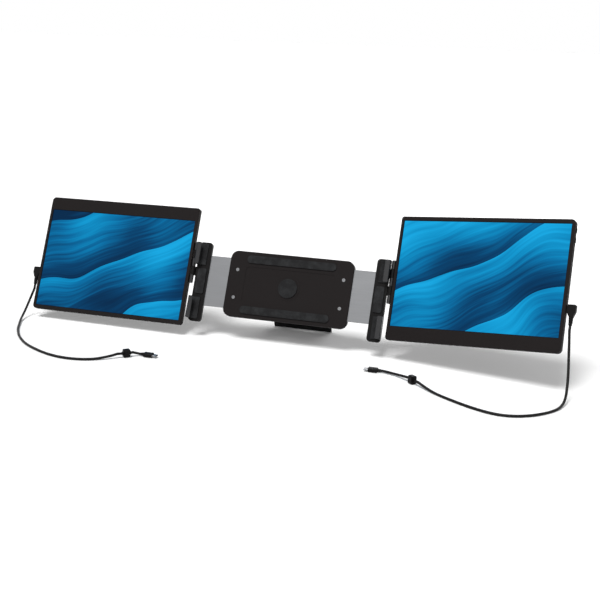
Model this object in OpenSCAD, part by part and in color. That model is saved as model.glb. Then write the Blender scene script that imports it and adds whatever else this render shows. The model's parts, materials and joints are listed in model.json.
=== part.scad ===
// Twin-screen extender that clips onto an upright panel.
//
// A bracket lies flat behind the panel. Two arms slide out of it, geared together
// so that they open evenly, and their hooked jaws grip the panel's side edges.
// Each arm carries a monitor on a friction hinge. Both monitors are the same
// product: the left one is the right one turned half round in its own plane.
//
// Frame: +X along the panel to the right, +Y to the back, +Z up. The origin is on
// the face of the bracket's middle pad, where it lies against the panel.
// "Panel frame" below means the frame before it is leant back by tilt: its XZ
// plane is the panel's back face, and -Y points at the person who looks at it.

/* [Panel that it grips] */
// Width of the panel between the jaws
panel_w = 308; // [296:1:350]
// Thickness of the panel in the jaws
panel_t = 7; // [5:0.5:8]
// Angle that the panel leans back from upright
tilt = 24; // [5:1:30]
// Height of the bracket's middle above the panel's lower edge
grip_z = 82; // [76:1:90]
// Height of the panel's lower edge above the desk, measured straight up
panel_lift = 14.5; // [10:0.5:20]

/* [Monitor] */
// Width of a monitor
mon_w = 268; // [230:1:330]
// Height of a monitor
mon_h = 188; // [170:1:230]
// Thickness of a monitor
mon_t = 10; // [9.8:0.1:13]
// Radius of a monitor's corners at its free edge
mon_r = 6.5; // [5:0.5:12]
// Radius of a monitor's corners beside the hinge
hinge_edge_r = 4; // [3:0.5:8]
// Width of the rim beside the picture
rim_side = 4.75; // [4.5:0.25:8]
// Width of the rim on the narrow long side
rim_thin = 6; // [5:0.25:9]
// Width of the rim on the broad long side
rim_broad = 20.5; // [16:0.5:26]
// How far the monitor's middle lies from the hinge's middle
mon_rise = 7; // [0:1:12]
// How far the monitors' faces stand behind the panel's face
mon_set_back = 4.2; // [3.5:0.1:5]
// Wall of the moulded back cover
cover_wall = 1.6; // [1.4:0.1:2]
// Floor of the moulded back cover
cover_floor = 1.3; // [1.1:0.1:1.6]

/* [How the monitors stand] */
// Angle of the right monitor, forward of flat with the panel
right_angle = 14.5; // [0:0.5:40]
// Angle of the left monitor, forward of flat with the panel
left_angle = -1.5; // [-5:0.5:40]
// Height of the hinges' middle above the bracket's middle
hinge_z = 26; // [20:1:28]

/* [Bracket and arms] */
// Width of the bracket
bracket_w = 200; // [190:1:220]
// Height of the bracket
bracket_h = 104; // [100:1:120]
// Thickness of the rubber pads on the bracket
pad_t = 1.6; // [1.2:0.1:2.5]
// Thickness of the bracket's front plate
plate_t = 2; // [1.8:0.1:3]
// Depth of the rear cover behind the plate
cover_d = 9.6; // [9.6:0.1:14]
// Thickness of the slide plates
slide_t = 1.6; // [1.5:0.1:1.6]
// How far each arm slides out from this setting
slide_out = 46; // [20:1:46]
// How far each arm slides in from this setting
slide_in = 8; // [2:1:8]
// Teeth on the pinion
pinion_teeth = 16; // [14:2:18]
// Thickness of the pinion and the racks
gear_t = 3; // [2.5:0.1:3]
// Thickness of the steel in the jaws
jaw_t = 1.5; // [1.2:0.1:1.6]
// How far a jaw reaches over the panel's front
jaw_reach = 5.4; // [5:0.1:8]
// Height of each jaw
jaw_h = 34; // [24:1:34]

/* [Stand] */
// Length of the stand from its pin to the end of its foot
stand_len = 130; // [126:1:134]
// Width of the stand
stand_w = 96; // [90:1:110]

/* [Cables] */
// Diameter of the cables
cable_d = 3.8; // [3.4:0.1:3.9]

/* [Hidden] */
$fn = 48;
eps = 0.01;
slip = 0.2;          // gap between sliding pieces
spin_gap = 0.05;     // gap round a pin that turns
part_gap = 0.1;      // gap between a piece and the hole it fits
pitch_m = 1;         // module of the pinion and the racks, tooth pitch over pi

// Levels behind the panel, in the panel frame
plate_y = pad_t;
slide_y = plate_y + plate_t + slip;
gear_y = slide_y + slide_t + 2 * slip;
rear_y = plate_y + plate_t;
rear_end = rear_y + cover_d;
bracket_r = 12;
plate_soft = 0.8;    // rounding of the front plate's edge
cover_soft = 3;      // rounding of the rear cover's edge
pad_seat = 0.5;      // depth of the pockets that the pads lie in
pad_w = 12;
pad_half = bracket_w / 2 - 28;
pad_z = bracket_h / 2 - 12;
middle_pad_r = 15;
field_d = 0.4;       // depth of the front plate's sunk field
wall = 2;
rail_d = slide_t + 2 * slip + 2;
rail_h = 8;
rail_lip = 4;
rail_inset = 8;
slide_h = bracket_h - 2 * (wall + rail_h + 2);
boss_x = bracket_w / 2 - 14;
boss_z = 22;
boss_r = 3;
groove_w = 1.4;      // finger grooves in the cover and the posts
groove_d = 0.6;
post_lo = -66;
post_hi = 60;
post_d = 6.4;
liner = 0.9;
lip_liner = 0.6;
post_x = panel_w / 2 - 20;
slot_x0 = boss_x - slide_out - boss_r - slip;
slot_x1 = boss_x + slide_in + boss_r + slip;
slide_x = slot_x0 - 8.8;
slide_end = post_x + 16;
pinion_r = pitch_m * pinion_teeth / 2;
axle_r = 2.5;
bracket_head_r = 2.6;
rack_back = 5;
jaw_low_z = -62;
jaw_high_z = 24;
jaw_side = panel_w / 2 + liner;
flange_x = panel_w / 2 - 14;
lip_x = panel_w / 2 - jaw_reach;
lip_y = -panel_t - lip_liner;
lip_flare = 1.3;     // length of the lip's bent-out tip
lip_out = 0.7;       // how far the tip is bent out
lip_r = 2;
post_screw_x = post_x + 10;
post_screw_z = slide_h / 2 - 12;
post_screw_r = 1.5;
jaw_screw_r = 1.2;
jaw_screw_len = 5;
head_r = 2.8;
head_h = 1.2;

// Hinge. Its axis is level with the monitor's front face, one barrel radius in.
barrel_r = 3.1;
hinge_pin_r = 1.5;
axis_x = panel_w / 2 + 6;
front_y = mon_set_back - panel_t;
axis_y = front_y + barrel_r;
knuckle_edges = [6, 20, 32];
web_y = plate_y + 4;
mon_gap = 3.8;
leaf_t = 1.2;
leaf_reach = 18;

// Monitor, in its own frame: origin in the middle of the hinge axis, +X to the
// free edge, +Y to the back, +Z up with the broad rim at the bottom.
face_y = -barrel_r;
split_y = face_y + 2;
back_y = face_y + mon_t;
floor_y = back_y - cover_floor;
mon_x0 = mon_gap;
mon_x1 = mon_gap + mon_w;
mon_z0 = mon_rise - mon_h / 2;
mon_z1 = mon_rise + mon_h / 2;
view_x = [mon_x0 + rim_side, mon_x1 - rim_side];
view_z = [mon_z0 + rim_broad, mon_z1 - rim_thin];
glass_lap = 2.2;
glass_y = [face_y + 0.8, face_y + 1.9];
light_y = [face_y + 1.9, face_y + 3.7];
frame_y = [face_y + 3.7, face_y + 4.3];
leaf_y = [frame_y[1], frame_y[1] + leaf_t];
seam_w = 0.4;        // shadow gap between a monitor's bezel and cover
seam_d = 0.35;
board_t = 0.8;
board_y = floor_y - 0.1 - board_t;
socket_r = 1.6;
socket_y = board_y - socket_r;
socket_w = 9;
socket_len = 7.3;
shell_t = 0.3;
tongue_back = 1.4;   // how far the contact tongues stay inside their sockets
flat_w = 11.4;
usb_z = [mon_rise - 30, mon_rise + 30];
flat_z = mon_rise + 5;
button_z = [mon_z1 - 29, mon_z1 - 15];
button_h = 7;
button_w = 2.6;
button_out = 0.8;
button_travel = 0.5;
button_stem = 3.6;
switch_in = button_stem + button_travel + part_gap;
board_x = [mon_x1 - 46, mon_x1 - 4];
board_z = [mon_rise - 42, mon_z1 - 12];
chip_h = 1.2;
chips = [[8, mon_rise - 8, 14], [10, mon_rise + 24, 10], [8, mon_rise - 34, 9]];
vent_n = 11;
vent_pitch = 3.4;
vent_w = 1.5;
vent_h = 13;
vent_x = board_x[0] - 12 - (vent_n - 1) * vent_pitch;
screw_inset = 9;
thread_r = 1.2;
wing_head_r = 2.3;
wing_boss_r = 2.8;
leaf_screw_x = mon_x0 + 12;
leaf_screw_z = [-24, -8, 8, 24];
leaf_screw_r = 1;

// Cable plugs
plug_out = 13;
plug_up = 5;
plug_waist = 4.5;    // where the plug starts to narrow to its cable
plug_down = 12;
plug_d = 7;
plug_r = 2;
cable_off = 7;
relief_len = 12;
tip_len = 6.6;       // steel tip of the plugs
block_len = 13;
block_w = 9.5;
block_h = 12;
end_plug_len = 13;
end_plug_w = 10.6;
end_plug_t = 6.2;
end_relief = 5;
lead = 4;            // straight stretch of a cable beside each thing it joins

// The desk under the panel, and the cable's middle as it lies there
desk_z = panel_t * sin(tilt) - grip_z * cos(tilt) - panel_lift;
block_z = desk_z + block_h / 2;
end_z = desk_z + end_plug_t / 2;

// Stand
stand_y = rear_end + 3.4;
stand_z = 44;
stand_pin_r = 1.25;
stand_barrel_r = 3;
stand_t = 2.4;
foot_r = 2.2;
stand_lug = [32, 40];
stand_drop = stand_z * cos(tilt) - stand_y * sin(tilt) - desk_z;
stand_open = tilt + acos((stand_drop - foot_r) / (stand_len - foot_r));

// Cable routes on the desk, by hand, from the drop below the plug to the block
left_route = [
    [-443, -15, -60], [-443, -25, -70], [-441, -38, -78], [-436, -55, -83],
    [-425, -78, -84.7], [-411, -104, -84.7], [-390, -134, -84.7], [-362, -163, -84.7],
    [-333, -183, -84.7], [-303, -198, -84.7], [-275, -205, -84.7], [-248, -203, -84.7],
    [-226, -193, -84.4], [-209, -178, -82.2]
];
right_route = [
    [432, -78, -12], [434, -88, -32], [436, -99, -52], [437, -113, -70],
    [436, -131, -81], [429, -154, -84.7], [411, -180, -84.7], [386, -198, -84.7],
    [358, -202, -84.7], [327, -191, -84.7], [295, -172, -84.7], [266, -151, -84.7],
    [246, -134, -82.2]
];
right_tail_route = [[199, -96, -83.2]];
left_block = [-192, -162];
left_block_turn = 42;
right_block = [227, -118];
right_block_turn = 140;
left_end = [-panel_w / 2 - 2, -149];
right_end = [panel_w / 2 + 2, -88];

charcoal = "#2b2827";
soft_black = "#1d1b1b";
rubber_black = "#151515";
steel = "#8d9094";
dark_steel = "#3c3e41";
screen_blue = "#1478b4";
board_green = "#1f4d35";

// ---------------------------------------------------------------- placement

// From the panel frame to the part's own frame
module on_panel() {
    rotate([-tilt, 0, 0]) children();
}

// The right arm's frame is the panel frame; the left arm mirrors it
module at_arm(side) {
    on_panel()
        if (side > 0) children();
        else mirror([1, 0, 0]) children();
}

// A monitor's own frame. The left monitor is turned half round.
module at_wing(side) {
    angle = side > 0 ? -right_angle : left_angle;
    on_panel()
        translate([side * axis_x, axis_y, hinge_z])
            rotate([0, 0, angle])
                rotate([0, side > 0 ? 0 : 180, 0])
                    children();
}

// The same placements as sums, for the points of the cables
function leant(p) = [
    p.x, p.y * cos(tilt) + p.z * sin(tilt), p.z * cos(tilt) - p.y * sin(tilt)
];
function turned(p, a) = [p.x * cos(a) - p.y * sin(a), p.x * sin(a) + p.y * cos(a), p.z];
function wing_point(side, p) = let (
    q = [side * p.x, p.y, side * p.z],
    r = turned(q, side > 0 ? -right_angle : left_angle)
) leant([r.x + side * axis_x, r.y + axis_y, r.z + hinge_z]);

// ------------------------------------------------------------------- shapes

// Rectangle from corner a to corner b with rounded corners
module round_rect(a, b, r) {
    translate([a.x + r, a.y]) square([b.x - a.x - 2 * r, b.y - a.y]);
    translate([a.x, a.y + r]) square([b.x - a.x, b.y - a.y - 2 * r]);
    for (x = [a.x + r, b.x - r], y = [a.y + r, b.y - r])
        translate([x, y]) circle(r);
}

// A flat shape drawn in XZ, made solid from y = from to y = to
module slab(from, to) {
    translate([0, to, 0]) rotate([90, 0, 0]) linear_extrude(to - from) children();
}

// Cylinder along Y
module rod_y(r, from, to) {
    translate([0, to, 0]) rotate([90, 0, 0]) cylinder(r = r, h = to - from);
}

// Cylinder along X
module rod_x(r, from, to) {
    translate([from, 0, 0]) rotate([0, 90, 0]) cylinder(r = r, h = to - from);
}

// Rectangle from corner a to corner b, with corners ra at a.x and rb at b.x
module two_radii(a, b, ra, rb) {
    mid = (a.x + b.x) / 2;
    round_rect(a, [mid + ra + rb, b.y], ra);
    round_rect([mid - ra - rb, a.y], b, rb);
}

// Rounded plate whose far edge, at y = to, is also rounded by e all round, or
// with near its edge at y = from. Its corners at a.x have radius ra, at b.x rb.
module soft_plate(a, b, ra, rb, from, to, e, near = false) {
    depth = to - from;
    module edge(reach) {
        square([reach - e, depth]);
        translate([reach - e, 0]) square([e, depth - e]);
        translate([reach - e, depth - e]) intersection() {
            circle(e);
            square(e);
        }
    }
    module across(len) {
        edge(len / 2);
        mirror([1, 0]) edge(len / 2);
    }
    module one_side(r, out) {
        mirror([out > 0 ? 0 : 1, 0, 0]) {
            for (z = [a.y + r, b.y - r])
                translate([0, 0, z]) rotate([-90, 0, 0]) rotate_extrude() edge(r);
            translate([0, 0, a.y + r]) linear_extrude(b.y - a.y - 2 * r) {
                edge(r);
                translate([-1, 0]) square([1 + eps, depth]);
            }
        }
    }
    translate([0, near ? to : from, 0])
        mirror([0, near ? 1 : 0, 0]) {
            translate([a.x + ra, 0, 0]) one_side(ra, -1);
            translate([b.x - rb, 0, 0]) one_side(rb, 1);
            translate([a.x + ra, 0, (a.y + b.y) / 2]) rotate([90, 0, 90])
                rotate([0, 0, -90]) linear_extrude(b.x - a.x - ra - rb) across(b.y - a.y);
        }
}

// Slot with round ends, of height h along Z and width w along Y, cut along X
module slot_x(w, h, from, to) {
    translate([from, 0, 0]) rotate([90, 0, 90]) linear_extrude(to - from)
        round_rect([-w / 2, -h / 2], [w / 2, h / 2], w / 2 - eps);
}

// Outline with each corner rounded by its own radius: points are [x, y, radius]
function softened(p, steps = 5) = [
    for (i = [0:len(p) - 1])
        let (
            b = [p[i].x, p[i].y],
            a = [p[(i + len(p) - 1) % len(p)].x, p[(i + len(p) - 1) % len(p)].y],
            c = [p[(i + 1) % len(p)].x, p[(i + 1) % len(p)].y],
            u = unit(a - b),
            v = unit(c - b),
            half = acos(u * v) / 2,
            mid = b + unit(u + v) * p[i].z / sin(half),
            from = atan2((b + u * p[i].z / tan(half) - mid).y, (b + u * p[i].z / tan(half) - mid).x),
            to = atan2((b + v * p[i].z / tan(half) - mid).y, (b + v * p[i].z / tan(half) - mid).x),
            turn = (to - from + 540) % 360 - 180
        )
        if (p[i].z == 0) b
        else each [for (k = [0:steps]) mid + p[i].z * [cos(from + turn * k / steps), sin(from + turn * k / steps)]]
];

// Tube swept along points, with its ends square to the route
function unit(v) = v / norm(v);
function heading(p, i) = i == 0 ? unit(p[1] - p[0])
    : i == len(p) - 1 ? unit(p[i] - p[i - 1])
    : unit(unit(p[i + 1] - p[i]) + unit(p[i] - p[i - 1]));
function ring(p, i, r, sides) = let (
    t = heading(p, i),
    u = unit(cross(t, [0, 0, 1])),
    v = cross(u, t)
) [for (k = [0:sides - 1]) p[i] + r * (cos(360 * k / sides) * u + sin(360 * k / sides) * v)];
module tube(p, r, sides = 8) {
    n = len(p);
    points = [for (i = [0:n - 1]) each ring(p, i, r, sides)];
    near = [[for (k = [0:sides - 1]) k]];
    far = [[for (k = [sides - 1:-1:0]) (n - 1) * sides + k]];
    walls = [
        for (i = [0:n - 2], k = [0:sides - 1])
            let (a = i * sides + k, b = i * sides + (k + 1) % sides)
                each [[a, a + sides, b], [b, a + sides, b + sides]]
    ];
    polyhedron(points, concat(near, far, walls));
}

// Smooth curve through points, with a middle point between each pair
function smooth(p) = [
    for (i = [0:len(p) - 2])
        each [
            p[i],
            let (a = p[max(i - 1, 0)], b = p[i], c = p[i + 1], d = p[min(i + 2, len(p) - 1)])
                (9 * (b + c) - a - d) / 16
        ],
    p[len(p) - 1]
];

// ------------------------------------------------------------------ bracket

module bracket_plate() {
    color(charcoal) on_panel() difference() {
        soft_plate([-bracket_w / 2, -bracket_h / 2], [bracket_w / 2, bracket_h / 2],
            bracket_r, bracket_r, plate_y, rear_y, plate_soft, near = true);
        bracket_screw_places() {
            rod_y(thread_r + part_gap, plate_y - 1, rear_y + 1);
            rod_y(bracket_head_r + part_gap, plate_y - 1, plate_y + head_h);
        }
        rod_y(axle_r, plate_y - 1, rear_y + 1);
        slab(plate_y - 1, plate_y + pad_seat) pad_outlines(part_gap);
        // Sunk field between the pads, with a land round the middle one
        slab(plate_y - 1, plate_y + field_d) difference() {
            round_rect([-pad_half, 2 * pad_w / 3 + 4 - pad_z], [pad_half, pad_z - 2 * pad_w / 3 - 4], 5);
            circle(middle_pad_r + 4);
        }
    }
}

module bracket_screw_places() {
    for (x = [-boss_x, boss_x], z = [-boss_z, boss_z])
        translate([x, 0, z]) children();
}

// A long pad above and below, with round ends, and a round one in the middle
module pad_outlines(grow = 0) {
    r = pad_w / 2 + grow;
    for (z = [-pad_z, pad_z])
        round_rect([-pad_half - grow, z - r], [pad_half + grow, z + r], r - eps);
    circle(middle_pad_r + grow);
}

module lid_pads() {
    color(rubber_black) on_panel() slab(0, pad_t + pad_seat) pad_outlines();
}

module rear_cover() {
    half = [bracket_w / 2, bracket_h / 2];
    color(charcoal) on_panel() {
        difference() {
            soft_plate([-half.x, -half.y], half, bracket_r, bracket_r, rear_y, rear_end, cover_soft);
            slab(rear_y - eps, rear_end - wall)
                round_rect([wall - half.x, wall - half.y], [half.x - wall, half.y - wall],
                    bracket_r - wall);
            // Mouths in both sides for the slide plates
            translate([-half.x - 1, rear_y - 1, -slide_h / 2 - slip])
                cube([bracket_w + 2, slide_y + slide_t + slip - rear_y + 1, slide_h + 2 * slip]);
            // Finger grooves at both ends, for pulling the arms out
            for (side = [-1, 1], k = [-2:2])
                slab(rear_end - groove_d, rear_end + 1)
                    translate([side * (boss_x - 2) + 3 * groove_w * k, 0])
                        round_rect([-groove_w / 2, -boss_z - 6], [groove_w / 2, boss_z + 6], groove_w / 2 - eps);
        }
        bracket_screw_places() difference() {
            rod_y(boss_r, rear_y, rear_end - wall + eps);
            rod_y(thread_r, rear_y - 1, rear_end - wall - 1);
        }
        for (side = [-1, 1])
            stand_lug_shape(side);
        difference() {
            rod_y(axle_r + 2, gear_y + gear_t + slip, rear_end - wall + eps);
            rod_y(axle_r, gear_y + gear_t, rear_end - wall - 0.4);
        }
    }
}

// Lug on the rear cover that holds the stand's pin
module stand_lug_shape(side) {
    translate([side > 0 ? stand_lug[0] : -stand_lug[1], 0, 0])
        difference() {
            union() {
                translate([0, stand_y, stand_z]) rod_x(stand_barrel_r, 0, stand_lug[1] - stand_lug[0]);
                translate([0, rear_end - wall + eps, stand_z - stand_barrel_r])
                    cube([stand_lug[1] - stand_lug[0], stand_y - rear_end + wall, 2 * stand_barrel_r]);
            }
            translate([0, stand_y, stand_z])
                rod_x(stand_pin_r, -1, stand_lug[1] - stand_lug[0] + 1);
        }
}

// Nylon channels that the slide plates' long edges run in
module guide_rails() {
    color(soft_black) on_panel()
        for (flip = [0, 1])
            mirror([0, 0, flip])
                translate([rail_inset - bracket_w / 2, 0, 0]) rotate([90, 0, 90])
                    linear_extrude(bracket_w - 2 * rail_inset)
                        polygon([
                            [rear_y, slide_h / 2 + slip],
                            [slide_y + slide_t + slip, slide_h / 2 + slip],
                            [slide_y + slide_t + slip, slide_h / 2 - rail_lip],
                            [rear_y + rail_d, slide_h / 2 - rail_lip],
                            [rear_y + rail_d, slide_h / 2 + rail_h],
                            [rear_y, slide_h / 2 + rail_h]
                        ]);
}

module pinion_axle() {
    color(steel) on_panel() {
        rod_y(axle_r, plate_y + pad_seat, rear_end - wall - 0.4);
    }
}

module bracket_screws() {
    color(steel) on_panel()
        bracket_screw_places() difference() {
            union() {
                rod_y(bracket_head_r, plate_y, plate_y + head_h);
                rod_y(thread_r, plate_y, rear_end - wall - 1.5);
            }
            slab(plate_y - 1, plate_y + 0.7) circle(r = 1.3, $fn = 6);
        }
}

// Involute gear tooth flanks, in the plane of the pinion
function involute(base, t) = [
    base * (cos(t) + t * PI / 180 * sin(t)), base * (sin(t) - t * PI / 180 * cos(t))
];
function flank_angle(base, r) = let (t = sqrt(pow(r / base, 2) - 1)) t * 180 / PI - atan(t);

module pinion() {
    pressure = 20;
    backlash = 0.08;
    base = pinion_r * cos(pressure);
    tip = pinion_r + pitch_m;
    root = pinion_r - 1.2 * pitch_m;
    half = 90 / pinion_teeth - backlash / pinion_r * 90 / PI + flank_angle(base, pinion_r);
    steps = 4;
    flank = [
        for (i = [0:steps])
            let (r = max(base, root) + (tip - max(base, root)) * i / steps,
                a = half - flank_angle(base, max(r, base)))
                [r, a]
    ];
    outline = [
        for (k = [0:pinion_teeth - 1])
            let (mid = 360 * (k + 0.5) / pinion_teeth + 90)
                each concat(
                    [root * [cos(mid - half), sin(mid - half)]],
                    [for (f = flank) f[0] * [cos(mid - f[1]), sin(mid - f[1])]],
                    [for (i = [steps:-1:0]) flank[i][0] * [cos(mid + flank[i][1]), sin(mid + flank[i][1])]],
                    [root * [cos(mid + half), sin(mid + half)]]
                )
    ];
    color("#c9c3b2") on_panel() difference() {
        slab(gear_y, gear_y + gear_t) polygon(outline);
        rod_y(axle_r + spin_gap, gear_y - 1, gear_y + gear_t + 1);
    }
}

// ---------------------------------------------------------------------- arms

module slide_plate(side) {
    color(steel) at_arm(side) difference() {
        slab(slide_y, slide_y + slide_t)
            round_rect([slide_x, -slide_h / 2], [slide_end, slide_h / 2], 3);
        for (z = [-boss_z, boss_z])
            slab(slide_y - 1, slide_y + slide_t + 1)
                round_rect([slot_x0, z - boss_r - slip], [slot_x1, z + boss_r + slip],
                    boss_r + slip - eps);
        post_screw_places() rod_y(post_screw_r, slide_y - 1, slide_y + slide_t + 1);
        jaw_screw_places() rod_y(jaw_screw_r, slide_y - 1, slide_y + slide_t + 1);
    }
}

module post_screw_places() {
    for (z = [-post_screw_z, post_screw_z]) translate([post_screw_x, 0, z]) children();
}

module jaw_screw_places() {
    for (z = [jaw_low_z, jaw_high_z], up = [8, jaw_h - 8])
        translate([panel_w / 2 - 8, 0, z + up]) children();
}

// Rack bar, with its foot on the slide plate. The left one is under the pinion.
module rack(side) {
    pitch = PI * pitch_m;
    backlash = 0.08;
    rack_in = -slide_out - 6;
    rack_out = slide_x + 14;
    tip_z = pinion_r - pitch_m;
    root_z = pinion_r + 1.2 * pitch_m;
    tan20 = tan(20);
    first = ceil((rack_in + 1) / pitch);
    last = floor((rack_out - 1) / pitch);
    color(dark_steel) at_arm(side)
        mirror([0, 0, side > 0 ? 0 : 1]) {
            slab(gear_y, gear_y + gear_t) {
                translate([rack_in, root_z]) square([rack_out - rack_in, rack_back]);
                for (k = [first:last])
                    translate([k * pitch, 0])
                        polygon([
                            [-pitch / 4 + backlash / 2 - (root_z - pinion_r) * tan20, root_z + eps],
                            [-pitch / 4 + backlash / 2 + pitch_m * tan20, tip_z],
                            [pitch / 4 - backlash / 2 - pitch_m * tan20, tip_z],
                            [pitch / 4 - backlash / 2 + (root_z - pinion_r) * tan20, root_z + eps]
                        ]);
            }
            translate([slide_x + 1, slide_y + slide_t, root_z])
                cube([rack_out - slide_x - 1, gear_y - slide_y - slide_t + eps, rack_back]);
        }
}

module arm_post(side) {
    color(soft_black) at_arm(side) difference() {
        union() {
            soft_plate([post_x, post_lo], [jaw_side, post_hi], 5, 5, plate_y, plate_y + post_d, 1.5);
            // Webs out to the hinge barrels
            for (z = [1, -1])
                hinge_web(z);
        }
        slab(slide_y, slide_y + slide_t)
            translate([post_x - 1, -slide_h / 2]) square([slide_end - post_x + 1, slide_h]);
        // Steps that the jaws' flanges are let into
        for (z = [jaw_low_z, jaw_high_z])
            translate([flange_x, plate_y - 1, z])
                cube([jaw_side + jaw_t + part_gap - flange_x, 1 + jaw_t, jaw_h]);
        post_screw_places() {
            rod_y(post_screw_r, slide_y, plate_y + post_d + 1);
            rod_y(head_r, plate_y + post_d - head_h, plate_y + post_d + 1);
        }
        jaw_screw_places() rod_y(jaw_screw_r, plate_y, plate_y + jaw_screw_len);
        // Finger grooves between the two screws
        for (k = [-2:2])
            slab(plate_y + post_d - groove_d, plate_y + post_d + 1)
                translate([0, 3 * groove_w * k])
                    round_rect([post_x + 5, -groove_w / 2], [jaw_side - 5, groove_w / 2], groove_w / 2 - eps);
    }
}

// One pair of an arm's barrels, and the web that ties them to the post
module hinge_web(z) {
    lo = hinge_z + (z > 0 ? knuckle_edges[0] : -knuckle_edges[1]) + part_gap;
    hi = hinge_z + (z > 0 ? knuckle_edges[1] : -knuckle_edges[0]) - part_gap;
    difference() {
        union() {
            translate([axis_x, axis_y, lo]) cylinder(r = barrel_r, h = hi - lo);
            translate([jaw_side - 1, plate_y + jaw_t + part_gap, lo])
                cube([axis_x - jaw_side + 1, web_y - plate_y - jaw_t - part_gap, hi - lo]);
            translate([jaw_side + jaw_t + slip, axis_y, lo])
                cube([axis_x - jaw_side - jaw_t - slip, web_y - axis_y, hi - lo]);
        }
        translate([axis_x, axis_y, lo - 1]) cylinder(r = hinge_pin_r, h = hi - lo + 2);
    }
}

// Steel hooks round the panel's edge: flange, side, and a lip whose tip is bent
// out so that the panel slides in
module jaws(side) {
    out_x = jaw_side + jaw_t;
    bend_r = jaw_t + 0.3;
    profile = softened([
        [flange_x, plate_y, 0], [jaw_side, plate_y, 0], [jaw_side, lip_y, 0],
        [lip_x + lip_flare, lip_y, 0], [lip_x, lip_y - lip_out, 0.2], [lip_x, lip_y - lip_out - jaw_t, 0.4],
        [lip_x + lip_flare, lip_y - jaw_t, 0], [out_x, lip_y - jaw_t, bend_r],
        [out_x, plate_y + jaw_t, bend_r], [flange_x, plate_y + jaw_t, 0]
    ]);
    color(dark_steel) at_arm(side)
        difference() {
            for (z = [jaw_low_z, jaw_high_z])
                translate([0, 0, z]) linear_extrude(jaw_h) polygon(profile);
            jaw_screw_places() rod_y(jaw_screw_r, plate_y - 1, plate_y + jaw_t + 1);
            lip_corners();
        }
}

// What rounding takes off the corners of the lips' free edges
module lip_corners() {
    for (z = [jaw_low_z, jaw_high_z], top = [0, 1])
        slab(lip_y - jaw_t - lip_out - 1, lip_y + lip_liner + eps)
            translate([lip_x, z + top * jaw_h]) mirror([0, top]) difference() {
                translate([-1, -1]) square([lip_r + 1, lip_r + 1]);
                translate([lip_r, lip_r]) circle(lip_r);
            }
}

// Rubber inside the jaws and on the post between them
module jaw_liners(side) {
    color(rubber_black) at_arm(side) {
        difference() {
            for (z = [jaw_low_z, jaw_high_z])
                translate([0, 0, z]) linear_extrude(jaw_h) {
                    translate([flange_x, 0]) square([jaw_side - flange_x, pad_t]);
                    translate([panel_w / 2, lip_y]) square([liner, -lip_y + pad_t]);
                    translate([lip_x + lip_flare, lip_y])
                        square([jaw_side - lip_x - lip_flare, lip_liner]);
                }
            lip_corners();
        }
        slab(0, pad_t)
            round_rect([post_x + 3, jaw_low_z + jaw_h + 6], [panel_w / 2 - 3, jaw_high_z - 6], 3);
    }
}

module arm_screws(side) {
    color(steel) at_arm(side) {
        post_screw_places() difference() {
            union() {
                rod_y(post_screw_r, slide_y, plate_y + post_d);
                rod_y(head_r, plate_y + post_d - head_h, plate_y + post_d);
            }
            slab(plate_y + post_d - 0.8, plate_y + post_d + 1) circle(r = 1.4, $fn = 6);
        }
        jaw_screw_places() rod_y(jaw_screw_r, plate_y, plate_y + jaw_screw_len);
    }
}

module hinge_pin(side) {
    end = knuckle_edges[2];
    color(steel) at_arm(side)
        translate([axis_x, axis_y, hinge_z]) {
            translate([0, 0, -end]) cylinder(r = hinge_pin_r, h = 2 * end);
            for (flip = [0, 1])
                mirror([0, 0, flip])
                    translate([0, 0, end + part_gap]) cylinder(r = 2.4, h = 1);
            for (flip = [0, 1])
                mirror([0, 0, flip])
                    translate([0, 0, end - eps]) cylinder(r = hinge_pin_r, h = part_gap + 2 * eps);
        }
}

// --------------------------------------------------------------------- wings

module hinge_leaf(side) {
    inner = knuckle_edges[0] - part_gap;
    mid = knuckle_edges[1] + part_gap;
    end = knuckle_edges[2];
    color(dark_steel) at_wing(side) difference() {
        union() {
            for (span = [[-end, -mid], [-inner, inner], [mid, end]])
                translate([0, 0, span[0]]) {
                    cylinder(r = barrel_r, h = span[1] - span[0]);
                    translate([0, leaf_y[0], 0])
                        cube([mon_gap, leaf_y[1] - leaf_y[0], span[1] - span[0]]);
                }
            translate([mon_gap - 0.3, leaf_y[0], -end])
                cube([leaf_reach + 0.3, leaf_y[1] - leaf_y[0], 2 * end]);
        }
        translate([0, 0, -end - 1]) cylinder(r = hinge_pin_r + spin_gap, h = 2 * end + 2);
        for (z = leaf_screw_z)
            translate([leaf_screw_x, 0, z]) rod_y(leaf_screw_r, leaf_y[0] - 1, leaf_y[1] + 1);
    }
}

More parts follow.
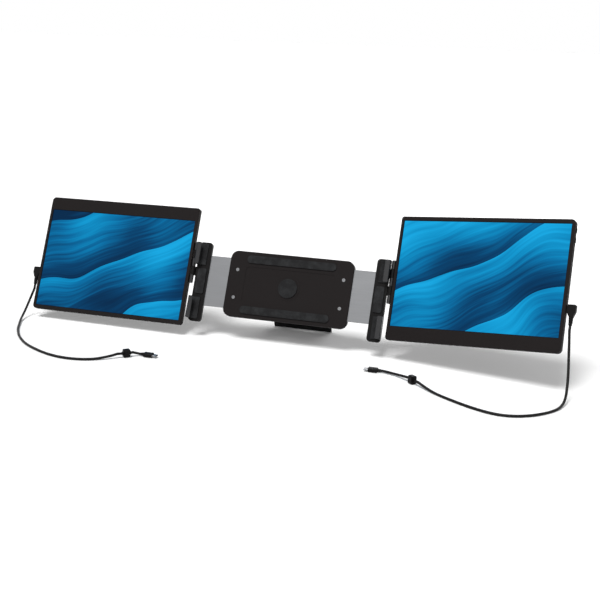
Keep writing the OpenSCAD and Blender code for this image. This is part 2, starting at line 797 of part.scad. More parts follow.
module back_cover(side) {
    in_x = [mon_x0 + cover_wall, mon_x1 - cover_wall];
    in_z = [mon_z0 + cover_wall, mon_z1 - cover_wall];
    color(charcoal) at_wing(side) {
        difference() {
            union() {
                soft_plate([mon_x0, mon_z0], [mon_x1, mon_z1], hinge_edge_r, mon_r,
                    split_y + seam_w, back_y, 2.5);
                // Set back beside the bezel, for a shadow gap
                slab(split_y, split_y + seam_w + eps)
                    two_radii([mon_x0 + seam_d, mon_z0 + seam_d], [mon_x1 - seam_d, mon_z1 - seam_d],
                        hinge_edge_r - seam_d, mon_r - seam_d);
            }
            slab(split_y - 1, floor_y)
                round_rect([in_x[0], in_z[0]], [in_x[1], in_z[1]], mon_r - cover_wall);
            // Slot for the hinge leaf
            translate([mon_x0 - 1, leaf_y[0] - part_gap, -knuckle_edges[2] - part_gap])
                cube([cover_wall + 2, leaf_y[1] - leaf_y[0] + 2 * part_gap,
                    2 * (knuckle_edges[2] + part_gap)]);
            for (z = usb_z)
                translate([0, socket_y, z])
                    slot_x(2 * socket_r + 2 * part_gap, socket_w + 2 * part_gap, in_x[1] - 1, mon_x1 + 1);
            translate([in_x[1] - 1, socket_y - socket_r - part_gap, flat_z - flat_w / 2 - part_gap])
                cube([cover_wall + 2, 2 * (socket_r + part_gap), flat_w + 2 * part_gap]);
            for (z = button_z)
                translate([0, socket_y, z])
                    slot_x(button_w + 2 * part_gap, button_h + 2 * part_gap, in_x[1] - 1, mon_x1 + 1);
            wing_screw_places() rod_y(thread_r, frame_y[1], back_y + 1);
            wing_screw_places() rod_y(wing_head_r + part_gap, back_y - 1, back_y + 1);
            // Two rows of vents beside the board
            for (z = [mon_rise - 40, mon_rise + 40], k = [0:vent_n - 1])
                slab(floor_y - 1, back_y + 1)
                    translate([vent_x + k * vent_pitch, z])
                        round_rect([-vent_w / 2, -vent_h / 2], [vent_w / 2, vent_h / 2], vent_w / 2 - eps);
        }
        difference() {
            wing_screw_places() rod_y(wing_boss_r, frame_y[1], floor_y + eps);
            wing_screw_places() rod_y(thread_r, frame_y[1] - 1, back_y);
        }
    }
}

module wing_screw_places() {
    for (x = [mon_x0 + screw_inset, mon_x1 - screw_inset], z = [mon_z0 + screw_inset, mon_z1 - screw_inset])
        translate([x, 0, z]) children();
    for (z = [mon_z0 + screw_inset, mon_z1 - screw_inset])
        translate([(mon_x0 + mon_x1) / 2, 0, z]) children();
}

module front_bezel(side) {
    color(charcoal) at_wing(side) difference() {
        soft_plate([mon_x0, mon_z0], [mon_x1, mon_z1], hinge_edge_r, mon_r, face_y, split_y, 0.8, near = true);
        slab(face_y - 1, split_y + 1)
            round_rect([view_x[0], view_z[0]], [view_x[1], view_z[1]], 1);
        slab(glass_y[0], split_y + 1) glass_outline(part_gap);
    }
}

module glass_outline(grow = 0) {
    lap = glass_lap + grow;
    round_rect([view_x[0] - lap, view_z[0] - lap], [view_x[1] + lap, view_z[1] + lap], 2 + grow);
}

module lcd_glass(side) {
    color(screen_blue) at_wing(side) slab(glass_y[0], glass_y[1]) glass_outline();
}

module backlight(side) {
    color("#d8dadb") at_wing(side) slab(light_y[0], light_y[1]) glass_outline();
}

// Pressed steel frame behind the display, open in the middle of its three bays
module chassis(side) {
    inset = cover_wall + 0.4;
    x0 = mon_x0 + inset;
    x1 = mon_x1 - inset;
    z0 = mon_z0 + inset;
    z1 = mon_z1 - inset;
    rail = 22;       // strip left beside the hinge leaf
    rib = 10;        // strips left between the bays
    edge = 16;       // strips left above and below them
    bay = (x1 - x0 - rail - edge - 2 * rib) / 3;
    color(steel) at_wing(side) difference() {
        slab(frame_y[0], frame_y[1]) round_rect([x0, z0], [x1, z1], mon_r - inset);
        for (k = [0:2])
            slab(frame_y[0] - 1, frame_y[1] + 1) translate([x0 + rail + k * (bay + rib), 0])
                round_rect([0, z0 + edge], [bay, z1 - edge], 6);
        for (z = leaf_screw_z)
            translate([leaf_screw_x, 0, z]) rod_y(leaf_screw_r, frame_y[0] - 1, frame_y[1] + 1);
        wing_screw_places() rod_y(thread_r, frame_y[0] - 1, frame_y[1] + 1);
    }
}

module driver_board(side) {
    color(board_green) at_wing(side) {
        slab(board_y, board_y + board_t)
            round_rect([board_x[0], board_z[0]], [board_x[1], board_z[1]], 1);
        for (chip = chips)
            translate([board_x[0] + chip[0], board_y - chip_h, chip[1]])
                cube([chip[2], chip_h + eps, chip[2]]);
        // Tactile switches behind the two buttons
        for (z = button_z)
            translate([mon_x1 - 9, socket_y - 1.4, z - 2])
                cube([9 - switch_in, board_y - socket_y + 1.4 + eps, 4]);
    }
}

// Two round-ended sockets and a flat one, each with its contact tongue
module ports(side) {
    depth = socket_len - 1;
    color(steel) at_wing(side) {
        for (z = usb_z)
            translate([0, socket_y, z]) {
                difference() {
                    slot_x(2 * socket_r, socket_w, mon_x1 - socket_len, mon_x1);
                    slot_x(2 * (socket_r - shell_t), socket_w - 2 * shell_t, mon_x1 - depth, mon_x1 + 1);
                }
                tongue(0.7, 6.6);
            }
        translate([0, socket_y, flat_z]) {
            difference() {
                translate([mon_x1 - socket_len, -socket_r, -flat_w / 2])
                    cube([socket_len, 2 * socket_r, flat_w]);
                translate([mon_x1 - depth, shell_t - socket_r, shell_t - flat_w / 2])
                    cube([depth + 1, 2 * (socket_r - shell_t), flat_w - 2 * shell_t]);
            }
            tongue(0.8, 8);
        }
    }
}

// Plate that carries a socket's contacts, of thickness t and width w
module tongue(t, w) {
    translate([mon_x1 - socket_len, -t / 2, -w / 2]) cube([socket_len - tongue_back, t, w]);
}

module wing_screws(side) {
    color(steel) at_wing(side) {
        for (z = leaf_screw_z)
            translate([leaf_screw_x, 0, z]) {
                rod_y(leaf_screw_r, frame_y[0], leaf_y[1]);
                rod_y(1.9, leaf_y[1], leaf_y[1] + 0.8);
            }
        wing_screw_places() difference() {
            union() {
                rod_y(thread_r, frame_y[0], back_y - 0.5);
                rod_y(wing_head_r, back_y - 1, back_y - 0.2);
            }
            slab(back_y - 0.7, back_y + 1) circle(r = 1.1, $fn = 6);
        }
    }
}

module button(side, z) {
    color(soft_black) at_wing(side) translate([0, socket_y, z]) {
        slot_x(button_w, button_h, mon_x1 - cover_wall - 1, mon_x1 + button_out);
        slot_x(button_w + 0.9, button_h + 0.9, mon_x1 - cover_wall - 1.1, mon_x1 - cover_wall - 0.1);
        slot_x(1.6, 3, mon_x1 - button_stem, mon_x1 - cover_wall - 0.5);
    }
}

// Right-angle plug, wide at the socket and narrowing to its cable. It points
// down at the desk on both monitors, which is the other way along Z on the
// monitor that is turned half round.
module elbow_plug(side) {
    z = side > 0 ? usb_z[0] : usb_z[1];
    near = mon_x1 + part_gap;
    cable_x = mon_x1 + cable_off;
    neck = plug_d / 2 - 0.3;
    module body(inset) {
        polygon(softened([
            [near + inset, inset - plug_waist, 1.5], [cable_x - neck + inset, -plug_down, 0.5],
            [cable_x + neck - inset, -plug_down, 0.5], [near + plug_out - inset, inset - plug_waist, 3],
            [near + plug_out - inset, plug_up - inset, plug_r], [near + inset, plug_up - inset, plug_r]
        ]));
    }
    color(soft_black) at_wing(side)
        translate([0, socket_y, z]) mirror([0, 0, side > 0 ? 0 : 1]) {
            slab(0.8 - plug_d / 2, plug_d / 2 - 0.8) body(0);
            slab(-plug_d / 2, plug_d / 2) body(0.6);
            translate([cable_x, 0, -plug_down - relief_len])
                cylinder(r1 = cable_d / 2 + 0.4, r2 = neck, h = relief_len + eps);
            difference() {
                slot_x(2 * socket_r - 0.8, socket_w - 0.8, mon_x1 - socket_len + 1.2, near + 1);
                slot_x(2 * socket_r - 1.7, socket_w - 1.7, mon_x1 - socket_len, near - 1);
            }
        }
}

// -------------------------------------------------------------------- stand

// The stand's own frame: pin on the X axis, leg along -Z, before it is swung out
module at_stand() {
    on_panel() translate([0, stand_y, stand_z]) rotate([stand_open, 0, 0]) children();
}

module kickstand() {
    top = -stand_barrel_r - 1.8;
    low = foot_r * 2 + 4 - stand_len;
    window = [[20 - stand_w / 2, low + 22], [stand_w / 2 - 20, top - 20]];
    rim = [3, 3];
    color(charcoal) at_stand() difference() {
        union() {
            rod_x(stand_barrel_r, slip - stand_lug[0], stand_lug[0] - slip);
            slab(-stand_t / 2, stand_t / 2)
                translate([slip - stand_lug[0], top - 1]) square([2 * (stand_lug[0] - slip), 1 - top]);
            slab(-stand_t / 2, stand_t / 2)
                round_rect([-stand_w / 2, low], [stand_w / 2, top], 9);
            slab(-stand_t / 2, stand_t / 2)
                translate([-stand_w / 2, low]) square([stand_w, 12]);
            // Stiffening rim round the window
            slab(0, stand_t / 2 + 0.8) round_rect(window[0] - rim, window[1] + rim, 11);
        }
        rod_x(stand_pin_r + spin_gap, -stand_lug[1], stand_lug[1]);
        slab(-stand_t, stand_t) round_rect(window[0], window[1], 8);
    }
}

module stand_foot() {
    top = foot_r * 2 + 4 - stand_len;
    color(rubber_black) at_stand() {
        slab(-foot_r, foot_r)
            translate([-stand_w / 2, foot_r - stand_len]) square([stand_w, top - foot_r + stand_len]);
        translate([0, 0, foot_r - stand_len]) rod_x(foot_r, -stand_w / 2, stand_w / 2);
    }
}

module stand_pin() {
    color(steel) on_panel()
        translate([0, stand_y, stand_z]) rod_x(stand_pin_r, -stand_lug[1], stand_lug[1]);
}

// -------------------------------------------------------------------- cables

// Where a cable leaves its elbow plug, and which way
function cable_start(side) = wing_point(side, [
    mon_x1 + cable_off, socket_y,
    side * ((side > 0 ? usb_z[0] : -usb_z[1]) - plug_down - relief_len)
]);
down = leant([0, 0, -1]);
function straight(from, dir, part = 1) = [for (k = [0:2]) from + k * part * lead * dir];
function back_to(to, dir, part = 1) = [for (k = [2:-1:0]) to - k * part * lead * dir];

function block_at(side) = side > 0 ? [right_block.x, right_block.y, block_z] : [left_block.x, left_block.y, block_z];
function block_dir(side) = let (a = side > 0 ? right_block_turn : left_block_turn) [cos(a), sin(a), 0];
function end_at(side) = side > 0 ? [right_end.x, right_end.y, end_z] : [left_end.x, left_end.y, end_z];

module cable(side) {
    route = concat(
        straight(cable_start(side), down),
        side > 0 ? right_route : left_route,
        back_to(block_at(side) - block_dir(side) * block_len / 2, block_dir(side))
    );
    color(soft_black) tube(smooth(route), cable_d / 2);
}

module cable_tail(side) {
    route = concat(
        straight(block_at(side) + block_dir(side) * block_len / 2, block_dir(side), 0.5),
        side > 0 ? right_tail_route : [],
        back_to(end_at(side) + [side * (end_plug_len + end_relief), 0, 0], [-side, 0, 0], 0.5)
    );
    color(soft_black) tube(smooth(route), cable_d / 2);
}

// Moulded block where the lead meets its tail, with a boss at each end
module cable_block(side) {
    turn = side > 0 ? right_block_turn : left_block_turn;
    half = [block_w / 2, block_h / 2];
    body = block_len / 2 - 1.5;
    color(soft_black) translate(block_at(side)) rotate([0, 0, turn]) {
        translate([1 - body, 0, 0]) rotate([90, 0, 90])
            linear_extrude(2 * body - 2) round_rect(-half, half, 2.5);
        translate([-body, 0, 0]) rotate([90, 0, 90])
            linear_extrude(2 * body) round_rect([0.8, 0.8] - half, half - [0.8, 0.8], 1.8);
        rod_x(cable_d / 2 + 1, -block_len / 2, block_len / 2);
    }
}

// The end plugs' own frame: origin on the moulding's front, the cable along +X
module at_end(side) {
    translate(end_at(side)) mirror([side > 0 ? 0 : 1, 0, 0]) children();
}

module end_plug(side) {
    half = [end_plug_w / 2, end_plug_t / 2];
    color(soft_black) at_end(side) {
        difference() {
            rotate([90, 0, 90]) linear_extrude(end_plug_len) round_rect(-half, half, 2.2);
            // Grip grooves across both faces
            for (k = [0:3], up = [-1, 1])
                translate([end_plug_len - 9 + 2 * k, -half.x, up * half.y - 0.4])
                    cube([0.8, end_plug_w, 0.8]);
        }
        translate([end_plug_len - eps, 0, 0]) rotate([0, 90, 0])
            cylinder(r1 = half.y - 0.3, r2 = cable_d / 2 + 0.3, h = end_relief + eps);
    }
}

// Steel shell of an end plug, open at its tip
module end_shell(side) {
    color(steel) at_end(side) rotate([90, 0, 0]) difference() {
        slot_x(2.4, 8.2, -tip_len, 0);
        slot_x(1.7, 7.5, -tip_len - 0.4, -0.6);
    }
}

// --------------------------------------------------------------------- parts

bracket_plate();
rear_cover();
guide_rails();
lid_pads();
pinion_axle();
bracket_screws();
stand_pin();
pinion();
kickstand();
stand_foot();
slide_plate(1);  // right_slide_plate
rack(1);  // right_rack
arm_post(1);  // right_arm_post
jaws(1);  // right_jaws
jaw_liners(1);  // right_jaw_liners
arm_screws(1);  // right_arm_screws
hinge_pin(1);  // right_hinge_pin
slide_plate(-1);  // left_slide_plate
rack(-1);  // left_rack
arm_post(-1);  // left_arm_post
jaws(-1);  // left_jaws
jaw_liners(-1);  // left_jaw_liners
arm_screws(-1);  // left_arm_screws
hinge_pin(-1);  // left_hinge_pin
hinge_leaf(1);  // right_hinge_leaf
back_cover(1);  // right_back_cover
front_bezel(1);  // right_front_bezel
chassis(1);  // right_chassis
backlight(1);  // right_backlight
lcd_glass(1);  // right_lcd_glass
driver_board(1);  // right_driver_board
ports(1);  // right_ports
wing_screws(1);  // right_wing_screws
elbow_plug(1);  // right_elbow_plug
button(1, button_z[0]);  // right_menu_button
button(1, button_z[1]);  // right_power_button
hinge_leaf(-1);  // left_hinge_leaf
back_cover(-1);  // left_back_cover
front_bezel(-1);  // left_front_bezel
chassis(-1);  // left_chassis
backlight(-1);  // left_backlight
lcd_glass(-1);  // left_lcd_glass
driver_board(-1);  // left_driver_board
ports(-1);  // left_ports
wing_screws(-1);  // left_wing_screws
elbow_plug(-1);  // left_elbow_plug
button(-1, button_z[0]);  // left_menu_button
button(-1, button_z[1]);  // left_power_button
cable(1);  // right_cable
cable_block(1);  // right_cable_block
cable_tail(1);  // right_cable_tail
end_plug(1);  // right_end_plug
end_shell(1);  // right_end_shell
cable(-1);  // left_cable
cable_block(-1);  // left_cable_block
cable_tail(-1);  // left_cable_tail
end_plug(-1);  // left_end_plug
end_shell(-1);  // left_end_shell
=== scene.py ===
"""Looks for an extender that carries two monitors, one on each side of an upright panel.

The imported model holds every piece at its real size. This script gives each piece its finish, lays a
smooth jacket over each plain cable tube, adds the ridges, rings and contacts that are too fine for
the model, and sets a plain studio with one camera. All sizes are in metres, in the model's frame:
+X along the bracket to the right, +Y to the back, +Z up.
"""

from __future__ import annotations

import json
import logging
import math
from dataclasses import dataclass, field
from enum import Enum
from typing import Any, Iterable, Sequence

import bpy
from mathutils import Euler, Matrix, Vector

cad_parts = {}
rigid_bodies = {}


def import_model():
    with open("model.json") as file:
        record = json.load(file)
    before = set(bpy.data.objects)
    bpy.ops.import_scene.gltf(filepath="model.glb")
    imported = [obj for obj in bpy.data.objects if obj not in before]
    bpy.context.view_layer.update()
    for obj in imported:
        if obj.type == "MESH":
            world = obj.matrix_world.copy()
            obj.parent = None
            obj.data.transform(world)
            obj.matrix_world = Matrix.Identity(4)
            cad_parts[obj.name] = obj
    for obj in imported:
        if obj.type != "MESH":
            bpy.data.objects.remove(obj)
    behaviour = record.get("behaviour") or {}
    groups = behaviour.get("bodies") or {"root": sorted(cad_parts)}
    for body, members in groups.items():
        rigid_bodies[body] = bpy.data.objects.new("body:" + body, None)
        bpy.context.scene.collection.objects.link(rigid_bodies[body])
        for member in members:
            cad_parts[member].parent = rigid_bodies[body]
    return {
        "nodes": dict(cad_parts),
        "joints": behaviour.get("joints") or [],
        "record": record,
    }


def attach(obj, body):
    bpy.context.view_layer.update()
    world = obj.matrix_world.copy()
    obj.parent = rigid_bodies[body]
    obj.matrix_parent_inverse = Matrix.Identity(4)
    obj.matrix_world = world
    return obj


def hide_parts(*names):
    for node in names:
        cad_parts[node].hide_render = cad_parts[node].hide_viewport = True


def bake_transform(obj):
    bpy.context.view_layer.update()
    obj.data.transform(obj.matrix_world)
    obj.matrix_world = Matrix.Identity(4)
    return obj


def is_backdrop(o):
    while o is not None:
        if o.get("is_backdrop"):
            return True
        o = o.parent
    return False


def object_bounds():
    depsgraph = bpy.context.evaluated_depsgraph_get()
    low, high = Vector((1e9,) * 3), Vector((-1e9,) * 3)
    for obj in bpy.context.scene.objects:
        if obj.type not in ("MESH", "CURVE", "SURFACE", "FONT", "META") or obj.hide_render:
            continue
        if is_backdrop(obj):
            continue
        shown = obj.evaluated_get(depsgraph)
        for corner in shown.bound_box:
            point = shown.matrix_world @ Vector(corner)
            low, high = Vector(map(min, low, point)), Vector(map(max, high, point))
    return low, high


log = logging.getLogger("extender")

MM = 0.001
QUARTER_TURN = math.pi / 2
JACKET_MAP = "along"

Point = tuple[float, float, float]
Piece = bpy.types.Object
Tree = bpy.types.NodeTree
Node = bpy.types.Node
Socket = bpy.types.NodeSocket

ORIGIN: Point = (0.0, 0.0, 0.0)
WORLD_UP = Vector((0.0, 0.0, 1.0))


class Side(Enum):
    """Which of the two arms and monitors a piece belongs to."""

    RIGHT = 1
    LEFT = -1

    def named(self, piece: str) -> str:
        """The name of this side's copy of a piece."""
        return f"{self.name.lower()}_{piece}"


class Slot(Enum):
    """The record's material slots."""

    CASING = "charcoal_abs"
    MOULDING = "black_abs"
    PAD = "pad_rubber"
    DARK_STEEL = "black_steel"
    BARE_STEEL = "bright_steel"
    RUNNER = "nylon"
    GEAR = "acetal"
    PICTURE = "screen"
    LIGHT_PANEL = "light_panel"
    BOARD = "circuit_board"
    JACKET = "cable_jacket"


def show(name: str, data: bpy.types.ID) -> Piece:
    """Puts an object into the scene.

    Args:
        name: Its name.
        data: Its mesh, lamp or camera.

    Returns:
        The object.
    """
    made = bpy.data.objects.new(name, data)
    bpy.context.scene.collection.objects.link(made)
    return made


def emptied(owner: bpy.types.Material | bpy.types.World) -> Tree:
    """Empties a node tree, ready for its own nodes.

    Args:
        owner: The material or world that has the tree.

    Returns:
        The tree.
    """
    owner.use_nodes = True
    owner.node_tree.nodes.clear()
    return owner.node_tree


def add(tree: Tree, kind: str, inputs: dict | None = None, **settings: Any) -> Node:
    """Adds one node to a tree, with its settings, values and links.

    Args:
        tree: The tree that the node goes into.
        kind: The node's type.
        inputs: A value, or an output socket to link from, for each input's name or number.
        settings: The node's own attributes.

    Returns:
        The node.
    """
    made = tree.nodes.new(kind)
    for name, value in settings.items():
        setattr(made, name, value)
    for name, value in (inputs or {}).items():
        if isinstance(value, bpy.types.NodeSocket):
            tree.links.new(value, made.inputs[name])
        else:
            made.inputs[name].default_value = value
    return made


# ---- materials


def linear(code: str) -> tuple[float, float, float, float]:
    """Turns an sRGB hex colour into the linear colour that a socket takes.

    Args:
        code: The colour, such as "#2b2827".

    Returns:
        Red, green, blue and an alpha of one.
    """
    parts = [int(code[i : i + 2], 16) / 255 for i in (1, 3, 5)]
    return (*(c / 12.92 if c <= 0.04045 else ((c + 0.055) / 1.055) ** 2.4 for c in parts), 1.0)


@dataclass(frozen=True)
class Finish:
    """A finish on a Principled shader. The kinds of surface below add their own detail."""

    name: str
    colour: str
    roughness: float
    ior: float = 1.5
    metallic: float = 0.0
    specular: float = 0.5

    def make(self) -> bpy.types.Material:
        """Builds the finish.

        Returns:
            Its material.
        """
        material = bpy.data.materials.new(self.name)
        tree = emptied(material)
        values = {
            "Base Color": linear(self.colour),
            "Roughness": self.roughness,
            "IOR": self.ior,
            "Metallic": self.metallic,
            "Specular IOR Level": self.specular,
        }
        shader = add(tree, "ShaderNodeBsdfPrincipled", values)
        add(tree, "ShaderNodeOutputMaterial", {"Surface": shader.outputs["BSDF"]})
        self.detail(tree, shader)
        return material

    def detail(self, tree: Tree, shader: Node) -> None:
        """Adds what this kind of surface shows."""
        raise NotImplementedError

    def graded(self, tree: Tree, factor: Socket, stops: Sequence[tuple[float, str]]) -> Socket:
        """Picks a colour from a row of shades that run into each other.

        Args:
            tree: The material's tree.
            factor: What picks the colour, from 0 to 1.
            stops: The place and the sRGB hex colour of each shade, in order.

        Returns:
            The colour.
        """
        made = add(tree, "ShaderNodeValToRGB", {"Fac": factor})
        points = made.color_ramp.elements
        while len(points) < len(stops):
            points.new(1.0)
        for point, (place, code) in zip(points, stops):
            point.position = place
            point.color = linear(code)
        return made.outputs["Color"]


@dataclass(frozen=True)
class TexturedFinish(Finish):
    """A finish whose height, shade and gloss change over the surface.

    The shades are the least and the most brightness, as shares of the colour's own. Uneven is how
    far the roughness goes down and up.
    """

    depth: float = 0.02 * MM
    relief: float = 0.8
    shades: tuple[float, float] = (0.93, 1.09)
    uneven: tuple[float, float] = (0.05, 0.05)

    def texture(self, tree: Tree, shader: Node, height: Socket, cast: Socket) -> None:
        """Feeds the shader with the changes.

        Args:
            tree: The material's tree.
            shader: Its shader.
            height: The factor that the height follows.
            cast: The factor that the shade and the gloss follow.
        """
        shade = {"Value": self.spread(tree, cast, *self.shades), "Color": linear(self.colour)}
        glossiest, dullest = self.roughness - self.uneven[0], self.roughness + self.uneven[1]
        bump = {"Height": height, "Distance": self.depth, "Strength": self.relief}
        links = {
            "Base Color": add(tree, "ShaderNodeHueSaturation", shade).outputs["Color"],
            "Roughness": self.spread(tree, cast, glossiest, dullest),
            "Normal": add(tree, "ShaderNodeBump", bump).outputs["Normal"],
        }
        for name, value in links.items():
            tree.links.new(value, shader.inputs[name])

    def spread(self, tree: Tree, factor: Socket, low: float, high: float) -> Socket:
        """Maps a factor from 0 to 1 onto the span from low to high."""
        values = {"Value": factor, "To Min": low, "To Max": high}
        return add(tree, "ShaderNodeMapRange", values).outputs["Result"]


@dataclass(frozen=True)
class MouldedPlastic(TexturedFinish):
    """Injection-moulded plastic from a spark-eroded mould.

    The mould leaves an even, fine-pitted grain that scatters the light. Where the melt flowed, the
    gloss and the shade change slowly, with a set number of flow marks to the metre.
    """

    grain: float = 0.9 * MM
    flow_marks: float = 14.0

    def detail(self, tree: Tree, shader: Node) -> None:
        """Adds the grain and the flow marks.

        Args:
            tree: The material's tree.
            shader: Its shader.
        """
        place = add(tree, "ShaderNodeTexCoord").outputs["Object"]
        pits = {"Vector": place, "Scale": 1 / self.grain, "Detail": 3.0}
        grain = add(tree, "ShaderNodeTexNoise", pits).outputs["Fac"]
        marks = {"Vector": place, "Scale": self.flow_marks, "Detail": 2.0}
        flow = add(tree, "ShaderNodeTexNoise", marks).outputs["Fac"]
        self.texture(tree, shader, height=grain, cast=flow)


@dataclass(frozen=True)
class SoftRubber(MouldedPlastic):
    """Moulded rubber: dead matt, with a faint bloom that lies paler in patches."""

    bloom: str = "#303132"
    patches: float = 60.0
    bare_to: float = 0.42
    full_from: float = 0.75

    def detail(self, tree: Tree, shader: Node) -> None:
        """Adds the grain of the mould, and the bloom in so many patches to the metre.

        Args:
            tree: The material's tree.
            shader: Its shader.
        """
        super().detail(tree, shader)
        place = add(tree, "ShaderNodeTexCoord").outputs["Object"]
        cloudy = {"Vector": place, "Scale": self.patches, "Detail": 5.0, "Roughness": 0.65}
        clouds = add(tree, "ShaderNodeTexNoise", cloudy).outputs["Fac"]
        stops = ((self.bare_to, self.colour), (self.full_from, self.bloom))
        tree.links.new(self.graded(tree, clouds, stops), shader.inputs["Base Color"])


@dataclass(frozen=True)
class RolledSteel(TexturedFinish):
    """Sheet or turned steel, with fine lines along the way it was rolled or brushed.

    The gloss follows the lines. They run along X and are drawn a little coarser than real ones, so
    that they show. Line is the width of one and run is its length.
    """

    depth: float = 0.004 * MM
    relief: float = 0.7
    shades: tuple[float, float] = (0.82, 1.18)
    uneven: tuple[float, float] = (0.08, 0.08)
    line: float = 0.35 * MM
    run: float = 40 * MM

    def detail(self, tree: Tree, shader: Node) -> None:
        """Adds the lines.

        Args:
            tree: The material's tree.
            shader: Its shader.
        """
        place = add(tree, "ShaderNodeTexCoord").outputs["Object"]
        stretch = {"Vector": place, "Scale": (1 / self.run, 1 / self.line, 1 / self.line)}
        drawn = add(tree, "ShaderNodeMapping", stretch).outputs["Vector"]
        streaks = {"Vector": drawn, "Scale": 1.0, "Detail": 3.0}
        lines = add(tree, "ShaderNodeTexNoise", streaks).outputs["Fac"]
        self.texture(tree, shader, height=lines, cast=lines)


@dataclass(frozen=True)
class SolderMask(Finish):
    """Printed circuit board under green lacquer, with the copper tracks as paler lines beneath."""

    second_green: str = "#245a3d"
    copper: str = "#3f8a5f"
    track_pitch: float = 2.5 * MM
    track_width: float = 0.06

    def detail(self, tree: Tree, shader: Node) -> None:
        """Adds the tracks, whose width is a share of their pitch.

        Args:
            tree: The material's tree.
            shader: Its shader.
        """
        place = add(tree, "ShaderNodeTexCoord").outputs["Object"]
        upright = {"Vector": place, "Rotation": (QUARTER_TURN, 0.0, 0.0)}
        pattern = {
            "Vector": add(tree, "ShaderNodeMapping", upright).outputs["Vector"],
            "Color1": linear(self.colour),
            "Color2": linear(self.second_green),
            "Mortar": linear(self.copper),
            "Scale": 1 / self.track_pitch,
            "Mortar Size": self.track_width,
        }
        tracks = add(tree, "ShaderNodeTexBrick", pattern)
        tree.links.new(tracks.outputs["Color"], shader.inputs["Base Color"])


@dataclass(frozen=True)
class ExtrudedJacket(TexturedFinish):
    """Thermoplastic elastomer drawn over a cable: satin, with faint lines and waves of gloss.

    The pattern lies on the jacket's own map, where U is the length in metres and V goes once round.
    Waves is how many there are to the metre, and lines is how many go round.
    """

    depth: float = 0.03 * MM
    relief: float = 0.6
    shades: tuple[float, float] = (0.85, 1.2)
    uneven: tuple[float, float] = (0.08, 0.1)
    waves: float = 120.0
    lines: float = 14.0

    def detail(self, tree: Tree, shader: Node) -> None:
        """Adds the lines and the waves.

        Args:
            tree: The material's tree.
            shader: Its shader.
        """
        along = add(tree, "ShaderNodeUVMap", uv_map=JACKET_MAP).outputs["UV"]
        stretch = {"Vector": along, "Scale": (self.waves, self.lines, 1.0)}
        drawn = add(tree, "ShaderNodeMapping", stretch).outputs["Vector"]
        streaks = {"Vector": drawn, "Scale": 1.0, "Detail": 4.0}
        skin = add(tree, "ShaderNodeTexNoise", streaks).outputs["Fac"]
        self.texture(tree, shader, height=skin, cast=skin)


